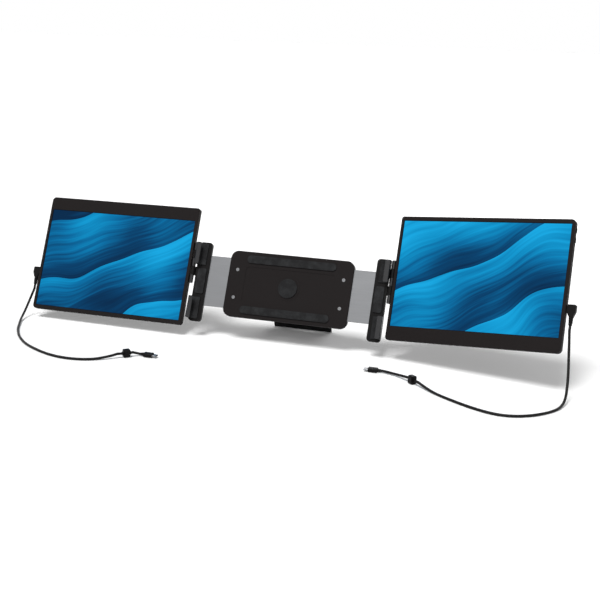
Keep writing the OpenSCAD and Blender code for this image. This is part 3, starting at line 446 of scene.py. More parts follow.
@dataclass(frozen=True)
class LitPicture(Finish):
    """Low-reflection display glass with a picture lit behind it.

    The picture is a plain design of curved pleats in blues: wide soft folds with one crisp edge
    each, and fine strands along them. It reads places in the picture's own frame, with X to the
    right, Z up and the origin in its middle. Folds, bends, strands and clouds say how many there
    are to the metre. Shares say what the folds, the strands and the clouds add to the tone.
    """

    frame: tuple[Point, Point] = (ORIGIN, ORIGIN)
    half_size: tuple[float, float] = (0.129, 0.081)
    border: float = 0.7 * MM
    shift: Point = ORIGIN
    lean: float = math.radians(24)
    bends: float = 7.0
    bend_height: float = 0.075
    folds: float = 3.4
    wander: float = 0.9
    wander_scale: float = 1.4
    strands: Point = (7.0, 7.0, 190.0)
    clouds: float = 9.0
    shares: tuple[float, float, float] = (0.60, 0.62, 0.90)
    dim: float = 0.52
    tones: tuple[tuple[float, str], ...] = (
        (0.08, "#00294c"),
        (0.32, "#00406c"),
        (0.54, "#016ca2"),
        (0.74, "#0790c8"),
        (0.95, "#14a8e2"),
    )

    def detail(self, tree: Tree, shader: Node) -> None:
        """Lights the picture, inside the thin black edge of the panel.

        Args:
            tree: The material's tree.
            shader: Its shader.
        """
        origin, turn = self.frame
        place = add(tree, "ShaderNodeTexCoord").outputs["Object"]
        own = {"Vector": place, "Location": origin, "Rotation": turn}
        local = add(tree, "ShaderNodeMapping", own, vector_type="TEXTURE").outputs["Vector"]
        colour = self.graded(tree, self.pleats(tree, local), self.tones)
        mix = {"Factor": self.inside(tree, local)}
        lit = add(tree, "ShaderNodeMix", mix, data_type="RGBA")
        lit.inputs["A"].default_value = linear(self.colour)
        tree.links.new(colour, lit.inputs["B"])
        tree.links.new(lit.outputs["Result"], shader.inputs["Emission Color"])
        shader.inputs["Emission Strength"].default_value = 1.0

    def pleats(self, tree: Tree, local: Socket) -> Socket:
        """Draws the design.

        Args:
            tree: The material's tree.
            local: A place in the picture's own frame.

        Returns:
            The design's tone there, from 0 to 1.
        """
        moved = {"Vector": local, "Location": self.shift, "Rotation": (0.0, self.lean, 0.0)}
        turned = add(tree, "ShaderNodeMapping", moved).outputs["Vector"]
        swell = {"Vector": turned, "Scale": self.bends, "Detail": 1.0}
        swell = add(tree, "ShaderNodeTexNoise", swell).outputs["Color"]
        push = {0: swell, 1: (0.0, 0.0, self.bend_height)}
        push = add(tree, "ShaderNodeVectorMath", push, operation="MULTIPLY").outputs["Vector"]
        curved = add(tree, "ShaderNodeVectorMath", {0: turned, 1: push}).outputs["Vector"]
        waves = {
            "Vector": curved,
            "Scale": self.folds,
            "Distortion": self.wander,
            "Detail": 2.0,
            "Detail Scale": self.wander_scale,
        }
        saw = {"bands_direction": "Z", "wave_profile": "SAW"}
        fine = add(tree, "ShaderNodeMapping", {"Vector": curved, "Scale": self.strands})
        threads = {"Vector": fine.outputs["Vector"], "Scale": 1.0, "Detail": 4.0}
        drift = {"Vector": turned, "Scale": self.clouds, "Detail": 0.0}
        layers = (
            add(tree, "ShaderNodeTexWave", waves, **saw),
            add(tree, "ShaderNodeTexNoise", threads),
            add(tree, "ShaderNodeTexNoise", drift),
        )
        tone = -self.dim
        for layer, share in zip(layers, self.shares):
            sums = {0: layer.outputs["Fac"], 1: share, 2: tone}
            tone = add(tree, "ShaderNodeMath", sums, operation="MULTIPLY_ADD").outputs[0]
        return tone

    def inside(self, tree: Tree, local: Socket) -> Socket:
        """Tells the lit area from the panel's black edge.

        Args:
            tree: The material's tree.
            local: A place in the picture's own frame.

        Returns:
            1 in the lit area and 0 outside it.
        """
        parts = add(tree, "ShaderNodeSeparateXYZ", {"Vector": local})
        within = {}
        for number, (axis, half) in enumerate(zip("XZ", self.half_size)):
            away = add(tree, "ShaderNodeMath", {0: parts.outputs[axis]}, operation="ABSOLUTE")
            less = {0: away.outputs[0], 1: half - self.border}
            less = add(tree, "ShaderNodeMath", less, operation="LESS_THAN")
            within[number] = less.outputs[0]
        return add(tree, "ShaderNodeMath", within, operation="MULTIPLY").outputs[0]


PLAIN_FINISHES: dict[Slot, Finish] = {
    # A fine spark grain: dark, even and a little warm, with no clear reflection in it.
    Slot.CASING: MouldedPlastic("charcoal_abs_spark_grain", "#1b1818", 0.50, specular=0.06),
    # A shallower grain in nearly black plastic, so its edges take a soft shine.
    Slot.MOULDING: MouldedPlastic(
        "black_abs_satin", "#0f0e0e", 0.42, specular=0.09, grain=0.6 * MM, depth=0.01 * MM
    ),
    # No shine at all, so the ridges show only by their shade, and the bloom greys them.
    Slot.PAD: SoftRubber("pad_rubber_matt", "#1f1f20", 0.82, specular=0.1, grain=0.5 * MM),
    # Zinc plate dyed black: a dark surface that still glints like metal, along its lines.
    Slot.DARK_STEEL: RolledSteel("steel_black_zinc", "#323233", 0.38, metallic=0.85),
    # Brushed along its length: mid grey, with the lights drawn out across the lines.
    Slot.BARE_STEEL: RolledSteel(
        "steel_brushed", "#7f8082", 0.34, metallic=1.0, line=0.28 * MM, shades=(0.86, 1.14)
    ),
    # A polished mould leaves the nylon smooth and waxy, with wide soft lights.
    Slot.RUNNER: MouldedPlastic(
        "nylon_black", "#1f1e1e", 0.38, specular=0.3, grain=1.4 * MM, depth=0.006 * MM
    ),
    # Undyed acetal is creamy and slick, and the teeth keep crisp lights.
    Slot.GEAR: MouldedPlastic(
        "acetal_natural", "#c9c3b2", 0.35, grain=1.2 * MM, depth=0.005 * MM
    ),
    # White film over a light guide: flat, bright and without a clear shine.
    Slot.LIGHT_PANEL: MouldedPlastic("light_panel_white", "#d8dadb", 0.60),
    # Lacquer over copper: deep green and glossy, with the tracks just paler.
    Slot.BOARD: SolderMask("board_solder_mask", "#1f4d35", 0.35),
    # Satin black that takes one thin light along the top of the cable.
    Slot.JACKET: ExtrudedJacket("cable_jacket_elastomer", "#131212", 0.44, specular=0.12),
}
# Gold plate on small springs: warm, bright and almost without lines.
CONTACT_GOLD = RolledSteel(
    "contacts_gold_plated", "#d8b35c", 0.25, metallic=1.0, shades=(0.92, 1.08)
)


@dataclass
class Palette:
    """The materials, made once each."""

    made: dict[str, bpy.types.Material] = field(default_factory=dict)

    def of(self, finish: Finish) -> bpy.types.Material:
        """Makes a finish, or finds it where it is made already.

        Args:
            finish: The finish.

        Returns:
            Its material.
        """
        if finish.name not in self.made:
            self.made[finish.name] = finish.make()
        return self.made[finish.name]

    def for_slot(self, slot: Slot) -> bpy.types.Material:
        """The material of one of the record's slots."""
        return self.of(PLAIN_FINISHES[slot])

    def dress(self, piece: Piece, material: bpy.types.Material) -> None:
        """Puts one material on the whole of a piece.

        Args:
            piece: The piece.
            material: What it is made of.
        """
        if not piece.material_slots:
            piece.data.materials.append(material)
        for place in piece.material_slots:
            place.material = material


# ---- geometry nodes


@dataclass
class GrownTree:
    """A Geometry Nodes tree with named inputs, which makes a mesh that repeats by rule."""

    name: str
    tree: Tree = field(init=False)
    entry: Node = field(init=False)

    KINDS = {
        int: "NodeSocketInt",
        float: "NodeSocketFloat",
        bool: "NodeSocketBool",
        tuple: "NodeSocketVector",
    }

    def __post_init__(self) -> None:
        """Starts the tree, with its geometry output and its material input."""
        self.tree = bpy.data.node_groups.new(self.name, "GeometryNodeTree")
        for name, way in (("Geometry", "OUTPUT"), ("Material", "INPUT")):
            kind = f"NodeSocket{name}"
            self.tree.interface.new_socket(name, in_out=way, socket_type=kind)
        self.entry = self.tree.nodes.new("NodeGroupInput")

    def take(self, name: str, value: int | float | bool | tuple) -> Socket:
        """Adds a named input.

        Args:
            name: Its name.
            value: Its usual value.

        Returns:
            The socket that gives it.
        """
        kind = self.KINDS[type(value)]
        socket = self.tree.interface.new_socket(name, in_out="INPUT", socket_type=kind)
        socket.default_value = value
        return self.entry.outputs[name]

    def end(self, geometry: Socket) -> None:
        """Closes the tree with real geometry in the piece's material.

        Args:
            geometry: What the tree has made.
        """
        real = add(self.tree, "GeometryNodeRealizeInstances", {"Geometry": geometry})
        painted = {"Geometry": real.outputs[0], "Material": self.entry.outputs["Material"]}
        last = add(self.tree, "GeometryNodeSetMaterial", painted)
        add(self.tree, "NodeGroupOutput", {"Geometry": last.outputs["Geometry"]})

    def grow(
        self, name: str, material: bpy.types.Material, place: Matrix, **values: Any
    ) -> Piece:
        """Grows one piece from the tree and leaves it as a plain mesh.

        Args:
            name: The piece's name.
            material: What it is made of.
            place: Where the tree's own frame lies in the model's frame.
            values: The inputs that differ from their usual values, in small letters and with _ for
                a space.

        Returns:
            The piece, at the origin, with its place in its mesh.
        """
        carrier = show(f"{name}_grower", bpy.data.meshes.new(f"{name}_seed"))
        modifier = carrier.modifiers.new("grow", "NODES")
        modifier.node_group = self.tree
        sockets = self.tree.interface.items_tree
        keys = {s.name: s.identifier for s in sockets if s.in_out == "INPUT"}
        modifier[keys["Material"]] = material
        for label, value in values.items():
            modifier[keys[label.replace("_", " ").capitalize()]] = value
        shown = carrier.evaluated_get(bpy.context.evaluated_depsgraph_get())
        mesh = bpy.data.meshes.new_from_object(shown)
        carrier.modifiers.remove(modifier)
        bpy.data.objects.remove(carrier)
        mesh.name = name
        mesh.transform(place)
        return show(name, mesh)


def bar_row() -> GrownTree:
    """A tree that stacks a row of equal bars, round or square, up its Z axis round its origin.

    Returns:
        The tree. Its bars run along X.
    """
    grown = GrownTree("bar_row")
    rows, pitch = grown.take("Rows", 8), grown.take("Row pitch", 0.002)
    size, is_round = grown.take("Size", (0.01, 0.0006, 0.0006)), grown.take("Round", True)
    tree = grown.tree
    gaps = add(tree, "ShaderNodeMath", {0: rows, 1: 1.0}, operation="SUBTRACT").outputs[0]
    span = add(tree, "ShaderNodeMath", {0: gaps, 1: pitch}, operation="MULTIPLY").outputs[0]
    foot = add(tree, "ShaderNodeMath", {0: span, 1: -0.5}, operation="MULTIPLY").outputs[0]
    line = {
        "Count": rows,
        "Start Location": add(tree, "ShaderNodeCombineXYZ", {"Z": foot}).outputs["Vector"],
        "Offset": add(tree, "ShaderNodeCombineXYZ", {"Z": pitch}).outputs["Vector"],
    }
    spots = add(tree, "GeometryNodeMeshLine", line).outputs["Mesh"]
    unit_rod = {"Vertices": 12, "Radius": 0.5, "Depth": 1.0}
    rod = add(tree, "GeometryNodeMeshCylinder", unit_rod).outputs["Mesh"]
    lying = {"Geometry": rod, "Rotation": (0.0, QUARTER_TURN, 0.0)}
    bars = {
        "Switch": is_round,
        "False": add(tree, "GeometryNodeMeshCube", {"Size": (1.0, 1.0, 1.0)}).outputs["Mesh"],
        "True": add(tree, "GeometryNodeTransform", lying).outputs["Geometry"],
    }
    bar = add(tree, "GeometryNodeSwitch", bars, input_type="GEOMETRY").outputs["Output"]
    laid = {"Points": spots, "Instance": bar, "Scale": size}
    grown.end(add(tree, "GeometryNodeInstanceOnPoints", laid).outputs["Instances"])
    return grown


def ring_row() -> GrownTree:
    """A tree that lays round beads in rings along Z from its origin, each a little smaller.

    Returns:
        The tree.
    """
    grown = GrownTree("ring_row")
    rings, length = grown.take("Rings", 5), grown.take("Length", 0.01)
    root, tip = grown.take("Root radius", 0.0034), grown.take("Tip radius", 0.0024)
    bead = grown.take("Bead", 0.0006)
    tree = grown.tree
    gaps = add(tree, "ShaderNodeMath", {0: rings, 1: 1.0}, operation="SUBTRACT").outputs[0]
    index = add(tree, "GeometryNodeInputIndex").outputs["Index"]
    share = add(tree, "ShaderNodeMath", {0: index, 1: gaps}, operation="DIVIDE").outputs[0]
    taper = {"Value": share, "To Min": root, "To Max": tip}
    radius = add(tree, "ShaderNodeMapRange", taper).outputs["Result"]
    step = add(tree, "ShaderNodeMath", {0: length, 1: gaps}, operation="DIVIDE").outputs[0]
    offset = add(tree, "ShaderNodeCombineXYZ", {"Z": step}).outputs["Vector"]
    spots = add(tree, "GeometryNodeMeshLine", {"Count": rings, "Offset": offset}).outputs["Mesh"]
    hoop = add(tree, "GeometryNodeCurvePrimitiveCircle", {"Resolution": 28, "Radius": 1.0})
    laid = {"Points": spots, "Instance": hoop.outputs["Curve"], "Scale": radius}
    hoops = add(tree, "GeometryNodeInstanceOnPoints", laid).outputs["Instances"]
    hoops = add(tree, "GeometryNodeRealizeInstances", {"Geometry": hoops}).outputs["Geometry"]
    section = add(tree, "GeometryNodeCurvePrimitiveCircle", {"Resolution": 10, "Radius": bead})
    swept = {"Curve": hoops, "Profile Curve": section.outputs["Curve"]}
    grown.end(add(tree, "GeometryNodeCurveToMesh", swept).outputs["Mesh"])
    return grown


# ---- pieces


@dataclass
class Bracket:
    """The ridges on the rubber that the bracket and its arms hold by, for grip without suction.

    Places are given in the bracket's own frame, which leans back by its tilt: X along the pads'
    faces, Y out of its back and Z up the slope.
    """

    palette: Palette
    tilt: float
    bars: GrownTree
    rings: GrownTree
    pad_height: float = 40 * MM
    pad_length: float = 132 * MM
    pad_ridges: int = 5
    middle_rings: int = 6
    middle_radii: tuple[float, float] = (13 * MM, 3 * MM)
    middle_bead: float = 0.4 * MM
    liner_across: float = 145 * MM
    liner_length: float = 9 * MM
    liner_heights: tuple[tuple[float, int], ...] = ((-45 * MM, 15), (-2 * MM, 18), (41 * MM, 15))
    ridge_pitch: float = 2.0 * MM
    ridge_size: tuple[float, float] = (0.7 * MM, 0.9 * MM)
    sunk: float = 0.2 * MM

    def place(self, across: float, up: float) -> Matrix:
        """A frame on the rubber's faces, where ridges and rings sink in a little."""
        leant = Matrix.Rotation(-self.tilt, 4, "X")
        return leant @ Matrix.Translation((across, self.sunk, up))

    def ridges(self, name: str, length: float, count: int, place: Matrix) -> Piece:
        """Grows one patch of ridges.

        Args:
            name: Its name.
            length: How long each ridge is.
            count: How many there are.
            place: Where their middle is, and which way they face.

        Returns:
            The patch.
        """
        return self.bars.grow(
            name,
            self.palette.for_slot(Slot.PAD),
            place,
            rows=count,
            row_pitch=self.ridge_pitch,
            size=(length, *self.ridge_size),
        )

    def ridge_pads(self) -> list[Piece]:
        """Ridges the bracket's two long pads, and gives the round one its rings.

        Returns:
            The ridges and the rings.
        """
        made = [
            self.ridges(name, self.pad_length, self.pad_ridges, self.place(0.0, up))
            for name, up in (
                ("upper_pad_ridges", self.pad_height),
                ("lower_pad_ridges", -self.pad_height),
            )
        ]
        facing = self.place(0.0, 0.0) @ Matrix.Rotation(QUARTER_TURN, 4, "X")
        outer, inner = self.middle_radii
        rings = self.rings.grow(
            "middle_pad_rings",
            self.palette.for_slot(Slot.PAD),
            facing,
            rings=self.middle_rings,
            length=0.0,
            root_radius=outer,
            tip_radius=inner,
            bead=self.middle_bead,
        )
        return self.settle([*made, rings], "bracket")

    def ridge_liners(self, side: Side) -> list[Piece]:
        """Ridges the rubber on one arm, behind each jaw and between them.

        Args:
            side: Which arm.

        Returns:
            The ridges.
        """
        across = side.value * self.liner_across
        made = []
        for number, (up, count) in enumerate(self.liner_heights):
            name = side.named(f"liner_ridges_{number}")
            made.append(self.ridges(name, self.liner_length, count, self.place(across, up)))
        return self.settle(made, side.named("arm"))

    def settle(self, pieces: list[Piece], body: str) -> list[Piece]:
        """Rides rubber pieces on their body.

        Args:
            pieces: The pieces.
            body: The body's name.

        Returns:
            The pieces.
        """
        for piece in pieces:
            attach(piece, body)
        return pieces


@dataclass(frozen=True)
class WingFrame:
    """A monitor's own directions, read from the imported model's joints."""

    side: Side
    hinge: Vector
    across: Vector
    up: Vector

    @classmethod
    def read(cls, side: Side, joints: Iterable[dict]) -> WingFrame:
        """Reads the frame of one monitor.

        Args:
            side: Which monitor.
            joints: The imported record's joints.

        Returns:
            The frame, with across pointing from the hinge to the free edge.
        """
        named = {j["name"]: j for j in joints}
        hinge = named[side.named("wing_hinge")]
        up = Vector(hinge["axis"])
        across = -Vector(named[side.named("menu_press")]["axis"])
        return cls(side, Vector(hinge["pos_m"]), across, up if up.z > 0 else -up)

    @property
    def right(self) -> Vector:
        """To the viewer's right."""
        return self.across * self.side.value

    @property
    def back(self) -> Vector:
        """Out of the monitor's back."""
        return self.up.cross(self.across) * self.side.value

    def point(self, across: float, back: float, up: float) -> Vector:
        """A place given from the hinge, along the monitor's own directions."""
        return self.hinge + across * self.across + back * self.back + up * self.up

    def matrix(self, at: Vector) -> Matrix:
        """A frame at a place, with X to the viewer's right, Y to the back and Z up."""
        turned = Matrix((self.right, self.back, self.up)).transposed()
        return Matrix.Translation(at) @ turned.to_4x4()


@dataclass(frozen=True)
class FreeSocket:
    """The tongue in one of a monitor's free sockets, and the row of contacts on it."""

    name: str
    height: float
    thick: float
    wide: float
    contacts: int
    pitch: float


@dataclass
class Monitor:
    """One monitor: its picture, and what is inside its free sockets."""

    palette: Palette
    frame: WingFrame
    bars: GrownTree
    edge: float = 271.8 * MM
    socket_depth: float = 3.1 * MM
    tongue_back: float = 1.4 * MM
    tongue_length: float = 5.9 * MM
    sleeve_over: float = 0.04 * MM
    contact_over: float = 0.10 * MM
    contact_short: float = 1.6 * MM
    right_round_height: float = 37 * MM
    left_round_height: float = -23 * MM
    flat_height: float = 12 * MM
    bezel_lap: float = 2.2 * MM

    def free_sockets(self) -> tuple[FreeSocket, FreeSocket]:
        """Sizes what is in the free sockets.

        Returns:
            The round-ended socket and the flat one.
        """
        on_right = self.frame.side is Side.RIGHT
        height = self.right_round_height if on_right else self.left_round_height
        return (
            FreeSocket("round_socket", height, 0.70 * MM, 6.6 * MM, 12, 0.50 * MM),
            FreeSocket("flat_socket", self.flat_height, 0.80 * MM, 8.0 * MM, 10, 0.76 * MM),
        )

    def fill_sockets(self) -> list[Piece]:
        """Lays the moulded sleeve and the gold contacts on the tongue of each free socket.

        Returns:
            The sleeves and the contacts.
        """
        made = []
        middle = self.edge - self.tongue_back - self.tongue_length / 2
        for one in self.free_sockets():
            place = self.frame.matrix(self.frame.point(middle, self.socket_depth, one.height))
            tongue = (self.tongue_length, one.thick, one.wide)
            sleeve = self.bars.grow(
                self.frame.side.named(f"{one.name}_sleeve"),
                self.palette.for_slot(Slot.MOULDING),
                place,
                rows=1,
                size=tuple(length + self.sleeve_over for length in tongue),
                round=False,
            )
            contacts = self.bars.grow(
                self.frame.side.named(f"{one.name}_contacts"),
                self.palette.of(CONTACT_GOLD),
                place,
                rows=one.contacts,
                row_pitch=one.pitch,
                size=(
                    self.tongue_length - self.contact_short,
                    one.thick + self.contact_over,
                    one.pitch / 2,
                ),
                round=False,
            )
            made += [sleeve, contacts]
        for piece in made:
            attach(piece, self.frame.side.named("wing"))
        return made

    def picture_box(self, glass: Piece) -> tuple[Vector, tuple[float, float]]:
        """Measures the picture.

        Args:
            glass: The display glass.

        Returns:
            The middle of the glass, and half the width and height that the bezel leaves.
        """
        middle, halves = Vector(), []
        for way in (self.frame.right, self.frame.back, self.frame.up):
            reach = [way.dot(v.co) for v in glass.data.vertices]
            middle += (min(reach) + max(reach)) / 2 * way
            halves.append((max(reach) - min(reach)) / 2 - self.bezel_lap)
        return middle, (halves[0], halves[2])

    def light_picture(self, shift: Point, dim: float) -> None:
        """Puts the lit picture on the display glass.

        Args:
            shift: Which part of the endless design this monitor shows.
            dim: How far its tones are brought down.
        """
        glass = bpy.data.objects[self.frame.side.named("lcd_glass")]
        middle, half = self.picture_box(glass)
        turn = self.frame.matrix(middle).to_euler("XYZ")
        finish = LitPicture(
            self.frame.side.named("picture"),
            "#04060a",
            0.30,
            specular=0.03,
            frame=(tuple(middle), tuple(turn)),
            half_size=half,
            shift=shift,
            dim=dim,
        )
        self.palette.dress(glass, self.palette.of(finish))


@dataclass(frozen=True)
class CableRoute:
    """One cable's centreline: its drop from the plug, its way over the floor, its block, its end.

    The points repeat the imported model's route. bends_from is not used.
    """

    side: Side
    route: tuple[Point, ...]
    block: Point
    block_turn: float
    tail: tuple[Point, ...]
    end: Point
    plug_drop: float
    bends_from: Point


RIGHT_CABLE = CableRoute(
    side=Side.RIGHT,
    route=(
        (0.432, -0.078, -0.012),
        (0.434, -0.088, -0.032),
        (0.436, -0.099, -0.052),
        (0.437, -0.113, -0.070),
        (0.436, -0.131, -0.081),
        (0.429, -0.154, -0.0847),
        (0.411, -0.180, -0.0847),
        (0.386, -0.198, -0.0847),
        (0.358, -0.202, -0.0847),
        (0.327, -0.191, -0.0847),
        (0.295, -0.172, -0.0847),
        (0.266, -0.151, -0.0847),
        (0.246, -0.134, -0.0822),
    ),
    block=(0.227, -0.118, -0.08056),
    block_turn=math.radians(140),
    tail=((0.199, -0.096, -0.0832),),
    end=(0.156, -0.088, -0.08346),
    plug_drop=-0.047,
    bends_from=(0.429, -0.056, -0.033),
)
LEFT_CABLE = CableRoute(
    side=Side.LEFT,
    route=(
        (-0.443, -0.015, -0.060),
        (-0.443, -0.025, -0.070),
        (-0.441, -0.038, -0.078),
        (-0.436, -0.055, -0.083),
        (-0.425, -0.078, -0.0847),
        (-0.411, -0.104, -0.0847),
        (-0.390, -0.134, -0.0847),
        (-0.362, -0.163, -0.0847),
        (-0.333, -0.183, -0.0847),
        (-0.303, -0.198, -0.0847),
        (-0.275, -0.205, -0.0847),
        (-0.248, -0.203, -0.0847),
        (-0.226, -0.193, -0.0844),
        (-0.209, -0.178, -0.0822),
    ),
    block=(-0.192, -0.162, -0.08056),
    block_turn=math.radians(42),
    tail=(),
    end=(-0.156, -0.149, -0.08346),
    plug_drop=-0.061,
    bends_from=(-0.448, -0.071, -0.031),
)


@dataclass
class Cable:
    """A monitor's cable: one jacket from its right-angle plug, through its block, to its end plug.

    It leaves the plug in a straight drop and lies straight through the block and into the end plug.
    Beads are the moulded rings round the right-angle plug's bend relief.
    """

    palette: Palette
    frame: WingFrame
    way: CableRoute
    rings: GrownTree
    down: Vector
    diameter: float = 3.8 * MM
    straight: float = 4 * MM
    block_length: float = 13 * MM
    plug_length: float = 13 * MM
    plug_relief: float = 5 * MM
    plug_across: float = 278.8 * MM
    plug_depth: float = 3.1 * MM
    bead_rings: int = 6
    bead_length: float = 10 * MM
    bead_overlap: float = 1.2 * MM
    bead_radii: tuple[float, float] = (2.5 * MM, 3.1 * MM)
    bead_thickness: float = 0.45 * MM
    sides: int = 20
    smoothings: int = 3

    def centreline(self) -> list[Vector]:
        """Joins the cable's stretches into one smooth line.

        Returns:
            The points down the middle of the jacket.
        """
        start = self.frame.point(self.plug_across, self.plug_depth, self.way.plug_drop)
        turn, side = self.way.block_turn, self.way.side.value
        along = Vector((math.cos(turn), math.sin(turn), 0.0))
        into = Vector(self.way.block) - along * self.block_length / 2
        out = Vector(self.way.block) + along * self.block_length / 2
        to_plug = Vector((-side, 0.0, 0.0))
        last = Vector(self.way.end) - to_plug * (self.plug_length + self.plug_relief)
        lead, short = self.straight, self.straight / 2
        points = [start + k * lead * self.down for k in range(3)]
        points += [Vector(p) for p in self.way.route]
        points += [into - k * lead * along for k in (2, 1, 0)]
        points += [out + k * short * along for k in range(3)]
        points += [Vector(p) for p in self.way.tail]
        points += [last - k * short * to_plug for k in (2, 1, 0)]
        for _ in range(self.smoothings):
            points = self.smooth(points)
        return points

    @staticmethod
    def smooth(points: Sequence[Vector]) -> list[Vector]:
        """Adds a point between each pair, on a curve through them all.

        Args:
            points: The points.

        Returns:
            The points and the added ones, in order.
        """
        done = []
        for i, (b, c) in enumerate(zip(points, points[1:])):
            a, d = points[max(i - 1, 0)], points[min(i + 2, len(points) - 1)]
            done += [b, (9 * (b + c) - a - d) / 16]
        return done + [points[-1]]

    def jacket(self, line: Sequence[Vector]) -> Piece:
        """Sweeps the jacket along its line, closed at both ends, with a map that runs along it.

        Args:
            line: The points down its middle.

        Returns:
            The jacket.
        """
        verts, places = [], []
        gone, ring = 0.0, self.sides
        for i, spot in enumerate(line):
            ahead, behind = line[min(i + 1, len(line) - 1)], line[max(i - 1, 0)]
            way = (ahead - behind).normalized()
            level = way.cross(WORLD_UP).normalized()
            rise = level.cross(way)
            gone += (spot - behind).length
            for k in range(ring):
                angle = 2 * math.pi * k / ring
                spoke = math.cos(angle) * level + math.sin(angle) * rise
                verts.append(spot + spoke * self.diameter / 2)
                places.append((gone, k / ring))
        faces = []
        for first in range(0, len(verts) - ring, ring):
            for k in range(ring):
                a, b = first + k, first + (k + 1) % ring
                faces.append((a, b, b + ring, a + ring))
        faces.append(tuple(reversed(range(ring))))
        faces.append(tuple(range(len(verts) - ring, len(verts))))
        mesh = bpy.data.meshes.new(self.way.side.named("jacket"))
        mesh.from_pydata(verts, [], faces)
        self.map_along(mesh, places)
        piece = show(mesh.name, mesh)
        self.palette.dress(piece, self.palette.for_slot(Slot.JACKET))
        return piece

    def map_along(self, mesh: bpy.types.Mesh, places: Sequence[tuple[float, float]]) -> None:
        """Gives the jacket its map, which comes round to 1 where it closes, and smooths its sides.

        Args:
            mesh: The jacket's mesh.
            places: The length in metres and the share of a turn at each vertex.
        """
        layer = mesh.uv_layers.new(name=JACKET_MAP)
        last = self.sides - 1
        for face in mesh.polygons:
            face.use_smooth = len(face.vertices) == 4
            closes = face.use_smooth and any(v % self.sides == last for v in face.vertices)
            for corner in face.loop_indices:
                u, v = places[mesh.loops[corner].vertex_index]
                layer.data[corner].uv = (u, 1.0 if closes and v == 0.0 else v)

    def beads(self, tip: Vector) -> Piece:
        """Makes the moulded rings round the right-angle plug's bend relief.

        Args:
            tip: Where the cable leaves the plug.

        Returns:
            The rings.
        """
        up = -self.down
        turned = up.to_track_quat("Z", "Y").to_matrix().to_4x4()
        root, end = self.bead_radii
        piece = self.rings.grow(
            self.way.side.named("relief_beads"),
            self.palette.for_slot(Slot.MOULDING),
            Matrix.Translation(tip + up * self.bead_overlap) @ turned,
            rings=self.bead_rings,
            length=self.bead_length,
            root_radius=root,
            tip_radius=end,
            bead=self.bead_thickness,
        )
        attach(piece, self.way.side.named("wing"))
        return piece

    def lay(self) -> None:
        side = self.way.side
        line = self.centreline()
        piece = self.jacket(line)
        arm, wing = side.named("arm"), side.named("wing")
        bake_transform(piece)
        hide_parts(side.named("cable"), side.named("cable_tail"))
        beads = self.beads(line[0])
        ends = [side.named(n) for n in ("elbow_plug", "cable_block", "end_plug", "end_shell")]


# ---- studio


@dataclass(frozen=True)
class SoftLamp:
    """A square lamp that faces the object's middle, with the length of its side and its power."""

    name: str
    at: Point
    size: float
    watts: float


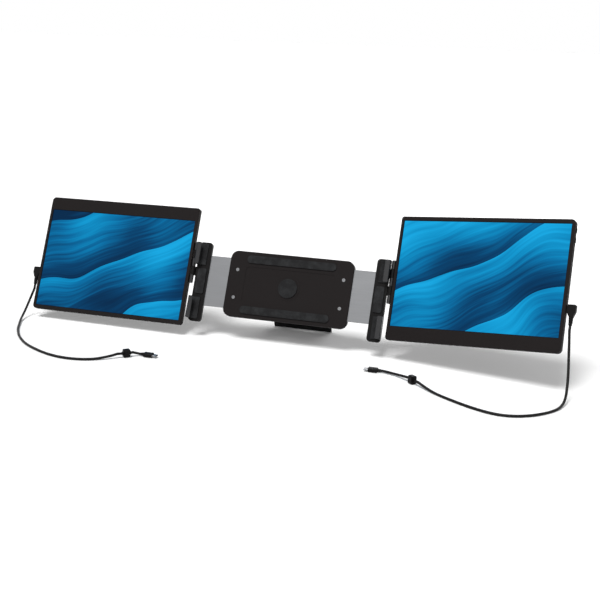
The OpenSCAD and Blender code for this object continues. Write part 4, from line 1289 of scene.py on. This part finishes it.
@dataclass
class Studio:
    """A plain pale floor, soft lamps, and the camera.

    The key is the main light, far off and wide, so that the floor is lit evenly to its far edge.
    Its spread is the angle that it fills, which sets how soft its shadows are. Floor glow and the
    two sky strengths make the background white to the camera without more light on the object.
    """

    floor_height: float
    floor_half: float = 14.0
    floor_colour: str = "#f2f2f2"
    floor_glow: float = 0.075
    sky_light: float = 0.25
    sky_seen: float = 1.0
    key_from: Point = (-0.14, -0.42, 0.90)
    key_spread: float = math.radians(26)
    key_strength: float = 2.95
    lamps: tuple[SoftLamp, ...] = (
        SoftLamp("fill", (1.6, -1.6, 1.0), 1.6, 7.0),
        SoftLamp("back", (0.3, 2.3, 0.62), 1.8, 34.0),
    )
    eye: Point = (0.54648, -1.59970, 0.41920)
    azimuth: float = math.radians(18.19)
    elevation: float = math.radians(14.49)
    roll: float = math.radians(1.48)
    lens: float = 68.26
    sensor: float = 36.0
    clip: tuple[float, float] = (0.05, 60.0)

    def camera(self) -> None:
        """Places the camera."""
        data = bpy.data.cameras.new("camera")
        data.lens, data.sensor_width = self.lens, self.sensor
        data.clip_start, data.clip_end = self.clip
        flat = math.cos(self.elevation)
        north, east = math.cos(self.azimuth) * flat, -math.sin(self.azimuth) * flat
        away = Vector((east, north, -math.sin(self.elevation)))
        level = away.cross(WORLD_UP).normalized()
        above = level.cross(away)
        right = level * math.cos(self.roll) + above * math.sin(self.roll)
        up = above * math.cos(self.roll) - level * math.sin(self.roll)
        turned = Matrix((right, up, -away)).transposed().to_4x4()
        camera = show("camera", data)
        camera.matrix_world = Matrix.Translation(self.eye) @ turned
        bpy.context.scene.camera = camera

    def floor(self) -> None:
        """A pale floor that reads as white to the camera and keeps the object's shadow."""
        half = self.floor_half
        mesh = bpy.data.meshes.new("floor")
        corners = [(-half, -half), (half, -half), (half, half), (-half, half)]
        mesh.from_pydata([(x, y, self.floor_height) for x, y in corners], [], [(0, 1, 2, 3)])
        floor = show("floor", mesh)
        material = bpy.data.materials.new("paper_floor")
        tree = emptied(material)
        paper = add(tree, "ShaderNodeBsdfDiffuse", {"Color": linear(self.floor_colour)})
        lift = {0: self.sharp_rays(tree), 1: self.floor_glow}
        lift = add(tree, "ShaderNodeMath", lift, operation="MULTIPLY").outputs[0]
        glow = add(tree, "ShaderNodeEmission", {"Strength": lift})
        total = add(tree, "ShaderNodeAddShader", {0: paper.outputs[0], 1: glow.outputs[0]})
        add(tree, "ShaderNodeOutputMaterial", {"Surface": total.outputs[0]})
        mesh.materials.append(material)
        floor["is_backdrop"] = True

    def world(self) -> None:
        """Even light from all round, and white where a sharp ray sees past the floor."""
        world = bpy.data.worlds.new("studio")
        bpy.context.scene.world = world
        tree = emptied(world)
        seen = self.sharp_rays(tree)
        strength = {"Value": seen, "To Min": self.sky_light, "To Max": self.sky_seen}
        level = add(tree, "ShaderNodeMapRange", strength).outputs["Result"]
        white = {"Color": (1.0, 1.0, 1.0, 1.0), "Strength": level}
        sky = add(tree, "ShaderNodeBackground", white)
        add(tree, "ShaderNodeOutputWorld", {"Surface": sky.outputs["Background"]})

    def sharp_rays(self, tree: Tree) -> Socket:
        """Tells sharp rays from scattered light.

        Args:
            tree: The tree that asks.

        Returns:
            1 for a ray from the camera, a mirror or clear glass, and 0 for scattered light.
        """
        seen = add(tree, "ShaderNodeLightPath")
        camera, glossy, clear = (
            seen.outputs[f"Is {name} Ray"] for name in ("Camera", "Glossy", "Transmission")
        )
        either = add(tree, "ShaderNodeMath", {0: camera, 1: glossy}, operation="MAXIMUM")
        any_of_them = {0: either.outputs[0], 1: clear}
        return add(tree, "ShaderNodeMath", any_of_them, operation="MAXIMUM").outputs[0]

    def facing(self, comes_from: Point) -> Euler:
        """How a lamp is turned so that it shines on the middle from a place."""
        return (-Vector(comes_from)).to_track_quat("-Z", "Y").to_euler()

    def light(self) -> None:
        """Hangs the key and the soft lamps."""
        sun = bpy.data.lights.new("key", "SUN")
        sun.angle, sun.energy = self.key_spread, self.key_strength
        show("key", sun).rotation_euler = self.facing(self.key_from)
        for lamp in self.lamps:
            data = bpy.data.lights.new(lamp.name, "AREA")
            data.size, data.energy = lamp.size, lamp.watts
            hung = show(lamp.name, data)
            hung.location, hung.rotation_euler = lamp.at, self.facing(lamp.at)

    def set_up(self) -> None:
        """Builds the studio round the camera."""
        self.floor()
        self.world()
        self.light()
        bpy.context.scene.view_settings.view_transform = "Standard"


# ---- main

# Which part of the endless design each monitor shows, and how far its tones are brought down.
PICTURES: dict[Side, tuple[Point, float]] = {
    Side.RIGHT: ((0.62, 0.0, 0.31), 0.49),
    Side.LEFT: ((0.10, 0.0, 0.05), 0.64),
}


def main() -> None:
    """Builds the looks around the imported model."""
    logging.basicConfig(level=logging.INFO, format="%(name)s: %(message)s")
    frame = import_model()
    cad_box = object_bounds()
    palette = Palette()
    bars, rings = bar_row(), ring_row()
    studio = Studio(floor_height=cad_box[0].z)
    studio.camera()

    wings = {side: WingFrame.read(side, frame["joints"]) for side in Side}
    up = wings[Side.RIGHT].up
    for way in (RIGHT_CABLE, LEFT_CABLE):
        Cable(palette, wings[way.side], way, rings, down=-up).lay()

    for part in frame["record"]["subparts"]:
        slot = Slot(part["material_slot"])
        if slot is not Slot.PICTURE:
            palette.dress(frame["nodes"][part["node"]], palette.for_slot(slot))
        log.info("%s: %s", part["node"], slot.value)
    added = []
    for side, (shift, dim) in PICTURES.items():
        monitor = Monitor(palette, wings[side], bars)
        monitor.light_picture(shift, dim)
        added += monitor.fill_sockets()
    bracket = Bracket(palette, math.atan2(up.y, up.z), bars, rings)
    added += bracket.ridge_pads()
    for side in Side:
        added += bracket.ridge_liners(side)
    for piece in added:
        log.info("%s", piece.name)

    studio.set_up()


if __name__ == "__main__":
    main()
